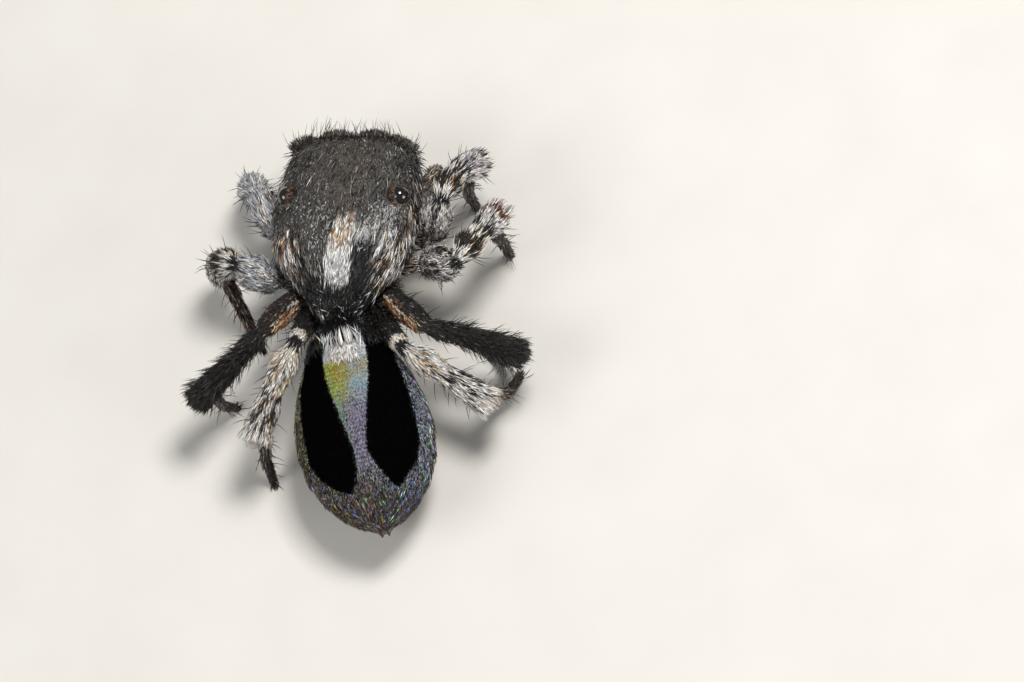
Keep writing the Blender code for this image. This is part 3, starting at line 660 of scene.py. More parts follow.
def placed(name: str, data: bpy.types.ID) -> bpy.types.Object:
    """Make an object of a mesh, camera or light and link it to the scene."""
    made = bpy.data.objects.new(name, data)
    bpy.context.scene.collection.objects.link(made)
    return made


def joined(parts: list[tuple[Array, list]]) -> tuple[Array, list]:
    """Join meshes into one array of points and one list of faces."""
    faces, total = [], 0
    for points, corners in parts:
        faces += [tuple(corner + total for corner in face) for face in corners]
        total += len(points)
    return np.vstack([points for points, _ in parts]), faces


def mesh_object(name: str, points: Array, faces: Array | list, smooth: bool = True) -> bpy.types.Object:
    """Make an object from points and faces.

    Args:
        name: Name of the piece.
        points: Points in metres.
        faces: Lists of corners.
        smooth: Whether it is shaded smooth.

    Returns:
        The object, linked to the scene.
    """
    data = bpy.data.meshes.new(name)
    data.from_pydata(np.asarray(points).tolist(), [], [tuple(face) for face in faces])
    data.update()
    if smooth:
        data.shade_smooth()
    return placed(name, data)


def array_mesh(name: str, points: Array, corners: Array, sizes: Array) -> bpy.types.Mesh:
    """Make a mesh from flat arrays, which is quick for many small faces.

    Args:
        name: Name of the mesh.
        points: Points in metres.
        corners: Point numbers of all faces, one after another.
        sizes: Number of corners of each face.

    Returns:
        The mesh.
    """
    data = bpy.data.meshes.new(name)
    data.vertices.add(len(points))
    data.vertices.foreach_set("co", np.ascontiguousarray(points, np.float32).ravel())
    data.loops.add(len(corners))
    data.loops.foreach_set("vertex_index", np.ascontiguousarray(corners, np.int32))
    data.polygons.add(len(sizes))
    starts = np.hstack((0, np.cumsum(sizes)[:-1])).astype(np.int32)
    data.polygons.foreach_set("loop_start", starts)
    data.update(calc_edges=True)
    data.validate()
    data.shade_smooth()
    return data


def add_tint(data: bpy.types.Mesh, colours: Array) -> None:
    """Store a linear colour at every point of a mesh."""
    layer = data.color_attributes.new("tint", "FLOAT_COLOR", "POINT")
    full = np.ones((len(colours), 4), np.float32)
    full[:, :3] = colours
    layer.data.foreach_set("color", full.ravel())


@dataclass(frozen=True)
class Growth:
    """How one layer of scales or hairs grows, in millimetres and degrees.

    Real hairs of this animal are 0.003 to 0.008 mm wide, too fine to show. They are drawn
    0.007 to 0.026 mm wide, and fewer, so that each still shows as a blade.

    The stand and the droop are the angles off the surface at the root and at the tip. The way
    is 1 for blades that lie towards growing u and -1 for those that lie against it. The tip is
    the brightness of the tips against the roots.
    """

    count: int
    length: tuple[float, float]
    width: float
    thickness: float
    stand: float
    droop: float
    stray: float
    rings: int = 2
    wobble: float = 0.0
    way: float = 1.0
    tip: float = 1.0


class Coat:
    """Joins layers of tufts into one piece with its OFBake map.

    A blade is a row of flat three-cornered rings that ends in a point. The profiles give the
    width of each ring as a share of the blade's, by the number of rings. A blade's root is
    sunk by a share of its length within two depths, and its colour is darkened there as
    painted shade, for the shade deep in the coat. The patch is the size of one blade on the map.
    """

    PROFILES = {1: (1.0,), 2: (0.8, 1.0), 3: (0.75, 1.0, 0.72), 4: (0.8, 1.0, 0.85, 0.55)}
    LEAN = 0.18
    ROOT_SHARE = 0.16
    ROOT_DEPTHS = (0.006, 0.010)
    # Painted shade: how dark a blade's root is, and how far up the blade the darkening reaches.
    ROOT_PAINTED_SHADE = 0.62
    PAINTED_SHADE_REACH = 2.2
    PATCH = (0.0014, 0.0028)
    MAP_EDGE = 0.002
    FLOOR = 0.002

    def __init__(self, name: str, slot: str, finish: bpy.types.Material) -> None:
        """Start an empty coat.

        Args:
            name: Name of the piece.
            slot: Name of a slot; it is not used.
            finish: Its material.
        """
        self.name, self.slot, self.finish = name, slot, finish
        self.points: list[Array] = []
        self.corners: list[Array] = []
        self.sizes: list[Array] = []
        self.tints: list[Array] = []
        self.maps: list[Array] = []
        self.total = 0

    @staticmethod
    def blade_faces(rings: int) -> list[tuple]:
        """Faces of one blade, by the numbers of its points."""
        faces = [(0, 2, 1)]
        for a in range(0, 3 * rings - 3, 3):
            b = a + 3
            faces += [(a, a + 1, b + 1, b), (a + 1, a + 2, b + 2, b + 1), (a + 2, a, b, b + 2)]
        last, tip = 3 * (rings - 1), 3 * rings
        return faces + [(last, last + 1, tip), (last + 1, last + 2, tip), (last + 2, last, tip)]

    def blades(self, growth: Growth, draw: np.random.Generator, roots: Array, normals: Array,
               lies: Array, length: Array, width: Array) -> Array:
        """Bend blades over from their roots.

        Args:
            growth: The layer's sizes.
            draw: Source of chance.
            roots: Where the blades leave the skin.
            normals: Outward unit vectors at the roots.
            lies: The lie of the coat at the roots.
            length: Length of each blade, as a column.
            width: Width of each blade, as a column.

        Returns:
            The points of each blade.
        """
        if growth.wobble:
            normals = unit(normals + draw.normal(0.0, growth.wobble, normals.shape))
        lies = unit(lies - normals * (lies * normals).sum(-1, keepdims=True))
        stray = np.radians(draw.normal(0.0, growth.stray, len(roots)))[:, None]
        lies = lies * np.cos(stray) + np.cross(lies, normals) * np.sin(stray)
        side = np.cross(lies, normals)
        lean = 1 + draw.normal(0.0, self.LEAN, len(roots))
        place = roots - normals * np.clip(self.ROOT_SHARE * length, *self.ROOT_DEPTHS)
        rows = []
        for ring, profile in enumerate(self.PROFILES[growth.rings]):
            share = ring / growth.rings
            angle = np.radians(growth.stand + (growth.droop - growth.stand) * share) * lean
            way = lies * np.cos(angle)[:, None] + normals * np.sin(angle)[:, None]
            if ring:
                place = place + way * length / growth.rings
            half = 0.5 * width * profile
            ridge_ = np.cross(side, way) * growth.thickness * profile
            rows += [place - side * half, place + ridge_, place + side * half]
        angle = np.radians(growth.droop) * lean
        way = lies * np.cos(angle)[:, None] + normals * np.sin(angle)[:, None]
        rows.append(place + way * length / growth.rings)
        return np.stack(rows, axis=1)

    def add(self, growth: Growth, draw: np.random.Generator, roots: Array, normals: Array,
            lies: Array, colours: Array, uv: Array, span: float = 0.2) -> None:
        """Grow one layer of blades.

        Args:
            growth: The layer's sizes.
            draw: Source of chance.
            roots: Where the blades leave the skin.
            normals: Outward unit vectors at the roots.
            lies: The lie of the coat at the roots.
            colours: Linear colour of each blade.
            uv: Place of each root on the coat's map.
            span: How far the widths stray, as a share.
        """
        count = len(roots)
        length = draw.uniform(*growth.length, count)[:, None]
        width = growth.width * draw.uniform(1 - span, 1 + span, count)[:, None]
        points = self.blades(growth, draw, roots, normals, lies, length, width)
        each = points.shape[1]
        faces = self.blade_faces(growth.rings)
        flat = np.array([corner for face in faces for corner in face])
        offsets = self.total + np.arange(count) * each
        self.corners.append((offsets[:, None] + flat[None, :]).ravel())
        self.sizes.append(np.tile([len(face) for face in faces], count))
        self.points.append(points.reshape(-1, 3))
        self.total += count * each
        along = np.append(np.repeat(np.arange(growth.rings) / growth.rings, 3), 1.0)
        blend = along[None, :, None]
        tips = np.minimum(colours * growth.tip, 1.0)
        # Painted shade: each blade is darker towards its root, where the coat shades it.
        shade = self.ROOT_PAINTED_SHADE + (1 - self.ROOT_PAINTED_SHADE) * np.minimum(blend * self.PAINTED_SHADE_REACH, 1.0)
        tints = (colours[:, None, :] * (1 - blend) + tips[:, None, :] * blend) * shade
        self.tints.append(tints.reshape(-1, 3))
        across = np.append(np.tile((-1.0, 0.0, 1.0), growth.rings), 0.0)
        local = np.stack((across * self.PATCH[0], (along - 0.5) * self.PATCH[1]), axis=-1)
        patch = np.clip(uv, self.MAP_EDGE, 1 - self.MAP_EDGE)[:, None, :] + local[None, :, :]
        self.maps.append(patch[:, flat, :].reshape(-1, 2))

    def build(self, placing: Placing) -> bpy.types.Object:
        """Make the piece, give it its map, tint and material, and let it ride.

        Args:
            placing: Where the frame's axes are.

        Returns:
            The object.
        """
        points = placing.to_row(np.vstack(self.points))
        points[:, 2] = np.maximum(points[:, 2], self.FLOOR * MM)
        data = array_mesh(self.name, points, np.hstack(self.corners), np.hstack(self.sizes))
        add_tint(data, np.vstack(self.tints))
        layer = data.uv_layers.new(name="OFBake")
        layer.data.foreach_set("uv", np.vstack(self.maps).astype(np.float32).ravel())
        made = placed(self.name, data)
        data.materials.append(self.finish)
        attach(made, "root")
        LOG.info("%s: %d triangles", self.name, int((np.hstack(self.sizes) - 2).sum()))
        return made


class Palette:
    """Named colours of a coat that are drawn by weight."""

    def __init__(self, **colours: str) -> None:
        """Keep the colours by name, as sRGB hex."""
        self.names = list(colours)
        self.values = np.array([linear(colour) for colour in colours.values()])

    def pick(self, weights: dict[str, Array], draw: Draw,
             chance: Array | None = None, spread: float = 0.22) -> Array:
        """Choose one colour for each place.

        Args:
            weights: Weight of each colour at each place.
            draw: Source of chance, or None for the mean colour.
            chance: Draws from 0 to 1, if they are shared by neighbours.
            spread: How far the brightness of a colour strays.

        Returns:
            Linear colours.
        """
        size = len(next(iter(weights.values())))
        table = np.zeros((size, len(self.names)))
        for name, weight in weights.items():
            table[:, self.names.index(name)] = np.maximum(weight, 0.0)
        table /= np.maximum(table.sum(1, keepdims=True), 1e-9)
        if draw is None:
            return table @ self.values
        chance = draw.random(size) if chance is None else chance
        chosen = (np.cumsum(table, axis=1) < chance[:, None]).sum(1).clip(0, len(self.names) - 1)
        colours = self.values[chosen]
        return np.minimum(colours * np.exp(draw.normal(0.0, spread, size))[:, None], 1.0)


STREAK_STRAY = 0.10


def plain(colour: str) -> Marking:
    """Marking of one colour."""
    tone = linear(colour)

    def mark(u: Array, v: Array, points: Array, normals: Array, draw: Draw) -> Array:
        """The colour at every place."""
        return np.tile(tone, (len(u), 1))

    return mark


def streaks(u: Array, v: Array, along: float, around: float, draw: Draw) -> Array:
    """Draws shared by neighbouring hairs, so that their colours come in streaks.

    The odd factors only scramble the number of a streak into a share from 0 to 1.

    Args:
        u: Places along the surface.
        v: Places round it.
        along: Streaks in its length.
        around: Streaks round it.
        draw: Source of chance, or None.

    Returns:
        Numbers from 0 to 1.
    """
    column = np.floor(v * around)
    shift = (np.sin(column * 12.9898) * 43758.5453) % 1.0
    row = np.floor(u * along + shift)
    value = (np.sin(column * 78.233 + row * 37.719) * 24634.6345) % 1.0
    if draw is None:
        return value
    return (value + draw.normal(0.0, STREAK_STRAY, len(u))) % 1.0


class Maker:
    """Adds shader nodes to one material."""

    def __init__(self, name: str) -> None:
        """Start an empty material."""
        self.material = bpy.data.materials.new(name)
        self.material.use_nodes = True
        self.tree = self.material.node_tree
        self.tree.nodes.clear()

    def node(self, kind: str, settings: dict | None = None, **inputs: object) -> bpy.types.Node:
        """Add a node with its settings and links.

        Args:
            kind: Blender's name of the node type.
            settings: Properties of the node.
            inputs: Sockets by name with spaces as underscores, each a value or a socket to link.

        Returns:
            The node.
        """
        made = self.tree.nodes.new(kind)
        for key, value in (settings or {}).items():
            setattr(made, key, value)
        for key, value in inputs.items():
            if key.startswith("in_"):
                socket = made.inputs[int(key[3:])]
            else:
                socket = made.inputs[key.replace("_", " ")]
            if isinstance(value, bpy.types.NodeSocket):
                self.tree.links.new(value, socket)
            elif value is not None:
                socket.default_value = value
        return made

    def mottle(self, scale: float, detail: float, colours: tuple[str, str]) -> bpy.types.NodeSocket:
        """A colour that wanders between two.

        Args:
            scale: Patches in a metre.
            detail: Octaves of the noise.
            colours: The darker and the lighter colour, as sRGB hex.

        Returns:
            The socket that gives it.
        """
        where = self.node("ShaderNodeTexCoord")
        noise = self.node(
            "ShaderNodeTexNoise", Vector=where.outputs["Object"], Scale=scale, Detail=detail,
        )
        ramp = self.node("ShaderNodeValToRGB", Fac=noise.outputs["Fac"])
        for stop, colour in zip(ramp.color_ramp.elements, colours):
            stop.color = (*linear(colour), 1.0)
        return ramp.outputs["Color"]

    def close(self, shader: bpy.types.Node) -> bpy.types.Material:
        """Link a shader to the output and hand over the material."""
        self.node("ShaderNodeOutputMaterial", Surface=shader.outputs["BSDF"])
        return self.material


@dataclass(frozen=True)
class Finish:
    """A surface that takes its colour from the tint of its mesh.

    The grain is the size in millimetres of its fine relief and of its change of tone.
    """

    name: str
    roughness: float
    ior: float
    grain: float
    tone: float = 0.25
    bump: float = 0.0
    bump_height: float = 0.0
    metallic: float = 0.0
    specular: float = 0.5

    def build(self) -> bpy.types.Material:
        """Make the material."""
        make = Maker(self.name)
        tint = make.node("ShaderNodeAttribute", {"attribute_name": "tint"})
        where = make.node("ShaderNodeTexCoord")
        noise = make.node(
            "ShaderNodeTexNoise", Vector=where.outputs["Object"], Scale=1.0 / (self.grain * MM),
            Detail=3.0, Roughness=0.6,
        )
        span = make.node(
            "ShaderNodeMapRange", Value=noise.outputs["Fac"], From_Min=0.25, From_Max=0.75,
            To_Min=1.0 - self.tone, To_Max=1.0 + self.tone,
        )
        colour = make.node(
            "ShaderNodeVectorMath", {"operation": "MULTIPLY"}, in_0=tint.outputs["Color"],
            in_1=span.outputs["Result"],
        )
        relief = None
        if self.bump:
            relief = make.node(
                "ShaderNodeBump", Height=noise.outputs["Fac"], Strength=self.bump,
                Distance=self.bump_height * MM,
            ).outputs["Normal"]
        return make.close(make.node(
            "ShaderNodeBsdfPrincipled", Base_Color=colour.outputs["Vector"], Normal=relief,
            Roughness=self.roughness, IOR=self.ior, Metallic=self.metallic,
            Specular_IOR_Level=self.specular,
        ))


# Chitin under the coat: a hard, slightly oily shell, IOR near 1.56, smooth between its pits.
CUTICLE = Finish("chitin_cuticle", 0.34, 1.56, 0.03, tone=0.3, bump=0.35, bump_height=0.004)
# Flattened hair-like scales of the head and legs: dull chitin blades with a faint silky edge.
SCALES = Finish("hair_scales", 0.42, 1.55, 0.05, tone=0.15, specular=0.4)
# Short scales on top of the head: the same chitin, flatter and shinier, so that they glint.
GLINTS = Finish("head_scales", 0.24, 1.56, 0.04, tone=0.15, specular=0.8)
# Long guard hairs: round, dark, glossy bristles.
BRISTLES = Finish("guard_bristles", 0.30, 1.55, 0.08, tone=0.15)
# Layered scales of the abdomen that throw back one colour strongly, like foil under varnish.
SHEEN = Finish("interference_scales", 0.26, 1.56, 0.02, tone=0.3, metallic=0.45, specular=0.8)
# Deep black velvet of the two spots: fine pile that swallows light.
VELVET = Finish("black_velvet_pile", 0.9, 1.5, 0.02, tone=0.2, specular=0.02)


def lens_finish() -> bpy.types.Material:
    """Eye lens: black depth under a clear, wet-looking dome, so that it shows sharp glints."""
    make = Maker("eye_lens")
    return make.close(make.node(
        "ShaderNodeBsdfPrincipled", Base_Color=make.mottle(9000.0, 2.0, ("#050403", "#150b06")),
        Roughness=0.06, IOR=1.52, Coat_Weight=1.0, Coat_Roughness=0.02,
    ))


class Animal:
    """All surfaces of the spider that carry skin and coat.

    The feeler's line is out, forward and up in the forebody's axes, and its girth is rows of
    share along it and half thickness.
    """

    PALP_LINE = ((0.38, 1.46, -0.18), (0.60, 1.70, -0.20), (0.78, 1.88, -0.16),
                 (0.76, 2.02, -0.34), (0.66, 2.08, -0.50))
    PALP_GIRTH = ((0.0, 0.075), (0.3, 0.095), (0.55, 0.085), (0.68, 0.095), (0.85, 0.125),
                  (1.0, 0.04))
    PALP_BENDS = (0.0, 0.12, 0.12, 0.12, 0.0)
    WAIST_GIRTH = ((0.0, 0.075), (1.0, 0.075))
    ACROSS = np.array((1.0, 0.0, 0.0))

    def __init__(self) -> None:
        """Shape the body, the legs and the feelers."""
        self.carapace = carapace()
        self.abdomen = abdomen()
        self.face = Cap("face", self.carapace, 1.0)
        self.legs = [Leg(side, pair) for pair in (1, 2, 3, 4) for side in Side]
        body, tail = self.carapace.frame, self.abdomen.frame
        self.palps = []
        for side in Side:
            line = [moved(body, np.array((side.value * out, ahead, lift)))
                    for out, ahead, lift in self.PALP_LINE]
            path = rounded_path(line, self.PALP_BENDS)
            name = f"palp_{side.name.lower()}"
            self.palps.append(Tube(name, path, self.PALP_GIRTH, self.ACROSS))
        ends = (moved(body, np.array((0.0, 0.05, 0.04))), moved(tail, np.array((0.0, 0.05, 0.0))))
        waist = rounded_path([ends[0], 0.5 * (ends[0] + ends[1]), ends[1]], (0.0, 0.1, 0.0))
        self.waist = Tube("pedicel", waist, self.WAIST_GIRTH, self.ACROSS)


@dataclass
class Skin:
    """One closed skin over body, legs, feelers and jaws, with the coat's markings.

    The copied nodes are drawn in by a depth, and the plates between the legs are lifted so
    that they join the carapace. They show the bare colour of the shell.
    """

    animal: Animal
    placing: Placing
    copied: tuple = ("sternum", "mouth_plates", "chelicera_left", "chelicera_right", "spinnerets")
    plates: tuple = ("sternum", "mouth_plates")
    copy_depth: float = 0.008
    plate_lift: float = 0.03
    tube_step: float = 0.03
    overlap: float = 0.02
    bare: str = "#4a2f20"

    def sources(self) -> list[tuple]:
        """Closed meshes in millimetres that are fused into the skin."""
        animal = self.animal
        made = [
            animal.carapace.grid(60, 56, BODY_COAT),
            animal.abdomen.grid(60, 48, BODY_COAT),
            animal.waist.grid(10, 16, 0.0),
        ]
        for tube in (tube for leg in animal.legs for tube in leg.tubes):
            rings = max(12, int(tube.length / self.tube_step))
            made.append(tube.grid(rings, 20, LEG_COAT, self.overlap))
        made += [palp.grid(40, 18, LEG_COAT * 0.7) for palp in animal.palps]
        made += self.sockets()
        for name in self.copied:
            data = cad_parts[name].data
            points = np.array([vert.co for vert in data.vertices])
            normals = np.array([vert.normal for vert in data.vertices])
            points = self.placing.from_row(points - normals * self.copy_depth * MM)
            if name in self.plates:
                points = points + UP * self.plate_lift
            made.append((points, [tuple(face.vertices) for face in data.polygons]))
        return made

    def sockets(self) -> list[tuple]:
        """Raised rims round the eyes."""
        made = []
        for radius, place, look in EYES.values():
            rows = ((-1.6, -0.5 * radius), *zip(RIM_ALONG, rim_walls(radius)))
            first, reach = rows[0][0], rows[-1][0] - rows[0][0]
            girth = tuple(((along - first) / reach, radius + wall) for along, wall in rows)
            for side in Side:
                centre, ahead, across, _ = eye_axes(place, look, side)
                spots = np.array([centre + ahead * radius * along for along, _ in rows])
                path = (spots, np.tile(ahead, (len(rows), 1)), np.arange(float(len(rows))))
                made.append(Tube("socket", path, girth, across).grid(12, 24, 0.006))
        return made

    def marked_points(self) -> tuple[Array, Array]:
        """Points all over the surfaces with the skin's colour at each."""
        spots, colours = [], []
        for name in self.copied:
            points = np.array([vert.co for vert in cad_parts[name].data.vertices])
            spots.append(self.placing.from_row(points))
            colours.append(np.tile(linear(self.bare), (len(points), 1)))
        for surface, marking in all_markings(self.animal):
            rows, columns = (200, 160) if isinstance(surface, Loft) else (40, 32)
            u, v = np.meshgrid(np.linspace(0, 1, rows), np.arange(columns) / columns, indexing="ij")
            u, v = u.ravel(), v.ravel()
            points, normals, _ = surface.frame_at(u, v)
            spots.append(points)
            colours.append(marking(u, v, points, normals, None))
        return np.vstack(spots), np.vstack(colours)

    def fuse(self) -> bpy.types.Mesh:
        """Fuse and smooth the sources, still in millimetres."""
        made = mesh_object("skin", *joined(self.sources()))
        remesh = made.modifiers.new("fuse", "REMESH")
        remesh.mode, remesh.voxel_size, remesh.adaptivity = "VOXEL", SKIN_GRAIN, 0.0
        soften = made.modifiers.new("soften", "SMOOTH")
        soften.factor, soften.iterations = 0.5, 4
        graph = bpy.context.evaluated_depsgraph_get()
        data = bpy.data.meshes.new_from_object(made.evaluated_get(graph))
        bpy.data.objects.remove(made)
        return data

    def colours_at(self, points: Array) -> Array:
        """The marking's colour nearest to each point."""
        spots, colours = self.marked_points()
        tree = KDTree(len(spots))
        for index, spot in enumerate(spots):
            tree.insert(spot, index)
        tree.balance()
        return colours[np.array([tree.find(point)[1] for point in points])]

    def build(self, finish: bpy.types.Material, dull: bpy.types.Material) -> bpy.types.Object:
        """Fuse, colour and dress the skin.

        Args:
            finish: The shell's material.
            dull: The material of its blackest faces.

        Returns:
            The skin.
        """
        data = self.fuse()
        flat = np.zeros(len(data.vertices) * 3, np.float32)
        data.vertices.foreach_get("co", flat)
        points = flat.reshape(-1, 3).astype(float)
        colours = self.colours_at(points)
        row = self.placing.to_row(points)
        row[:, 2] = np.maximum(row[:, 2], 0.0)
        data.vertices.foreach_set("co", row.astype(np.float32).ravel())
        data.update()
        # Painted shade: the skin's colours are darkened where the coat shades it.
        add_tint(data, colours * SKIN_PAINTED_SHADE)
        data.shade_smooth()
        data.materials.clear()
        data.materials.append(finish)
        data.materials.append(dull)
        dark = colours.max(1) < BLACK_LIMIT
        first = np.zeros(len(data.polygons), np.int32)
        data.polygons.foreach_get("loop_start", first)
        corner = np.zeros(len(data.loops), np.int32)
        data.loops.foreach_get("vertex_index", corner)
        data.polygons.foreach_set("material_index", dark[corner[first]].astype(np.int32))
        skin = placed("skin", data)
        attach(skin, "root")
        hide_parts(*[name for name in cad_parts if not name.startswith("eye_")])
        LOG.info("skin: %d faces", len(data.polygons))
        return skin


# Colours of the coat, by the part of the animal that wears them.
HEAD = Palette(
    black="#121110", charcoal="#363431", grey="#6a6661", ash="#9a958f", tan="#8f7862",
    orange="#bb8863", cream="#e0cfb8", white="#e9e7e4", brown="#4a3526",
)
LIMB = Palette(
    black="#151210", charcoal="#2f2b28", grey="#837d79", pale="#b5afab", white="#e6e2dc",
    cream="#d9c5a6", orange="#b8804e", rust="#6f3d22", brown="#3a281c", blue="#97a0ad",
    lilac="#b3a6b2", peach="#d3b496", frost="#c3c4c6",
)
TAIL = Palette(
    black="#0a0807", soot="#1d1916", brown="#57493c", white="#f2f0f0", gold="#cfae3c", lime="#b9cc55",
    green="#72b86a", cyan="#7fcfc9", ice="#bcd8e4", blue="#6079c4", violet="#8672b8", mauve="#9a8d9c",
    silver="#cac7ce", bronze="#8d744f", dusk="#54555d", rust="#c47a32", sky="#86a2f2", orchid="#b79ee6",
    mint="#93e0ab",
)

# Rows of scales across the band: real ones are about 0.03 mm apart, drawn wider to show.
SCALE_ROWS = 0.052

COMB = Palette(white="#ebe9e6", cream="#d8cbb6", grey="#9a948e")
BRUSH = Palette(black="#151210", charcoal="#2a2623", grey="#57504a")


# In the markings below, places are millimetres in a body's own axes or shares of a limb's
# length, and the number beside each colour weighs how many of the hairs there wear it.


def ridge(values: Array, middle: float, half: float) -> Array:
    """A rounded bump of height one over a middle value."""
    return np.exp(-((values - middle) / half) ** 2)


def bald(side: Array, ahead: Array) -> Array:
    """The bare black patch to the right of the pale stripe."""
    return (smooth_step(0.70, 0.60, ahead) * smooth_step(0.20, 0.24, side)
            * smooth_step(0.50, 0.40, side + 0.25 * (0.6 - ahead)))


def mark_carapace(surface: Loft, long: bool = False) -> Marking:
    """Markings of the carapace as a function of its own axes, in streaks for long hairs.

    Args:
        surface: What the markings lie on.
        long: Whether they are for long hairs.

    Returns:
        A function that gives the colours at places.
    """

    def mark(u: Array, v: Array, points: Array, normals: Array, draw: Draw) -> Array:
        """Colours at places on the carapace.

        Args:
            u: Places along the surface, from 0 to 1.
            v: Places round it, from 0 to 1.
            points: The places in millimetres.
            normals: Outward unit vectors at the places.
            draw: Source of chance, or None for the mean colour.

        Returns:
            Linear colours.
        """
        side, ahead, height = surface.axes(u, v)
        middle = 0.03 + 0.06 * smooth_step(0.5, 0.9, ahead)
        stripe = smooth_step(0.20, 0.12, np.abs(side - middle) + 0.05 * smooth_step(0.7, 1.0, ahead))
        stripe = stripe * smooth_step(1.04, 0.92, ahead) * smooth_step(0.27, 0.33, ahead)
        warm = smooth_step(0.58, 0.80, ahead)
        bare = bald(side, ahead)
        # Painted highlight: ash and white scales where light glints on the top of the head.
        painted_glint = ridge(side, 0.33, 0.20) * ridge(ahead, 0.74, 0.12)
        flank = smooth_step(0.50, 0.34, height + 0.25 * smooth_step(0.9, 0.3, ahead))
        flank = np.maximum(flank * smooth_step(1.65, 1.2, ahead), smooth_step(0.50, 0.62, np.abs(side)) *
                           smooth_step(0.95, 0.7, ahead))
        # Painted shade: black at the rear edge over the waist, for the shadow in the gap to the abdomen.
        rear = smooth_step(0.36, 0.28, ahead) * smooth_step(0.62, 0.50, np.abs(side))
        centre = ridge(side, 0.03, 0.26) * smooth_step(0.95, 1.2, ahead)
        rest = (1 - stripe) * (1 - bare)
        pale = flank * smooth_step(1.3, 0.6, ahead)
        warm_side = smooth_step(0.3, -0.5, side)
        fade = 1 - flank
        return HEAD.pick({
            "black": (0.55 + 9.0 * rear + 0.5 * flank) * rest + 9.0 * bare,
            "charcoal": (0.8 * fade + 0.3) * rest, "grey": (0.60 * fade + 0.1) * rest,
            "ash": (0.36 * fade + 0.10 * centre + 0.9 * painted_glint) * rest,
            "tan": (0.12 + 0.38 * centre + 0.35 * flank) * rest + 0.5 * warm * stripe,
            "brown": (0.06 + 0.14 * centre + 0.9 * flank) * rest,
            "orange": 0.35 * warm * stripe + (0.05 + 0.28 * warm_side) * flank * rest,
            "cream": (0.9 * warm + 0.6) * stripe + (0.15 * flank + 0.6 * pale) * rest,
            "white": (1.2 * warm + 6.0 * (1 - warm)) * stripe
            + (1.9 * pale + 3.2 * painted_glint + 0.07 * fade) * rest,
        }, draw, streaks(u, v, 17, 90, draw) if draw is not None and long else None, 0.4)

    return mark


def mark_face(surface: Cap) -> Marking:
    """Markings of the face: dark round the eyes, tan and cream below them.

    Args:
        surface: What the markings lie on.

    Returns:
        A function that gives the colours at places.
    """

    def mark(u: Array, v: Array, points: Array, normals: Array, draw: Draw) -> Array:
        """Colours at places on the face."""
        height = (points - surface.loft.frame[:3, 3]) @ surface.loft.frame[:3, 2]
        low = smooth_step(0.22, 0.06, height)
        return HEAD.pick({
            "black": 0.5 * (1 - low), "charcoal": 1.0 - 0.8 * low, "grey": 0.4 * (1 - low),
            "tan": 0.3 + 0.8 * low, "brown": 0.3 + 0.3 * low, "cream": 0.9 * low, "orange": 0.3 * low,
        }, draw)

    return mark


# Edges of the two black spots: distance back from the abdomen's front, then how far out from
# its middle line the inner and the outer edge lie, for the left and the right spot.
LEFT_SPOT = ((0.00, 0.12, 0.20), (0.20, 0.20, 0.36), (0.45, 0.24, 0.50), (0.70, 0.24, 0.58),
             (1.00, 0.19, 0.63), (1.31, 0.135, 0.645), (1.57, 0.085, 0.65), (1.80, 0.10, 0.54),
             (1.95, 0.15, 0.40), (2.03, 0.22, 0.26))
RIGHT_SPOT = ((0.00, 0.15, 0.22), (0.20, 0.27, 0.42), (0.45, 0.29, 0.54), (0.70, 0.27, 0.60),
              (1.00, 0.20, 0.65), (1.38, 0.11, 0.67), (1.60, 0.07, 0.66), (1.83, 0.16, 0.58),
              (2.00, 0.25, 0.42), (2.07, 0.30, 0.34))


def spot_share(side: Array, back: Array, height: Array, soft: float = 0.012) -> Array:
    """How far a place lies in one of the two black spots, from 0 to 1.

    Args:
        side: Distance from the abdomen's middle line, by side.
        back: Distance back from the abdomen's front.
        height: Height in the same axes.
        soft: Half width of the edge.

    Returns:
        Shares from 0 to 1.
    """
    found = np.zeros(len(side))
    for sign, edges in ((1.0, LEFT_SPOT), (-1.0, RIGHT_SPOT)):
        rows = np.array(edges)
        reach = side * sign
        inner = np.interp(back, rows[:, 0], rows[:, 1])
        outer = np.interp(back, rows[:, 0], rows[:, 2])
        inside = smooth_step(-soft, soft, reach - inner) * smooth_step(-soft, soft, outer - reach)
        found = np.maximum(found, inside * (back < rows[-1, 0]) * (height > 0.0))
    return found


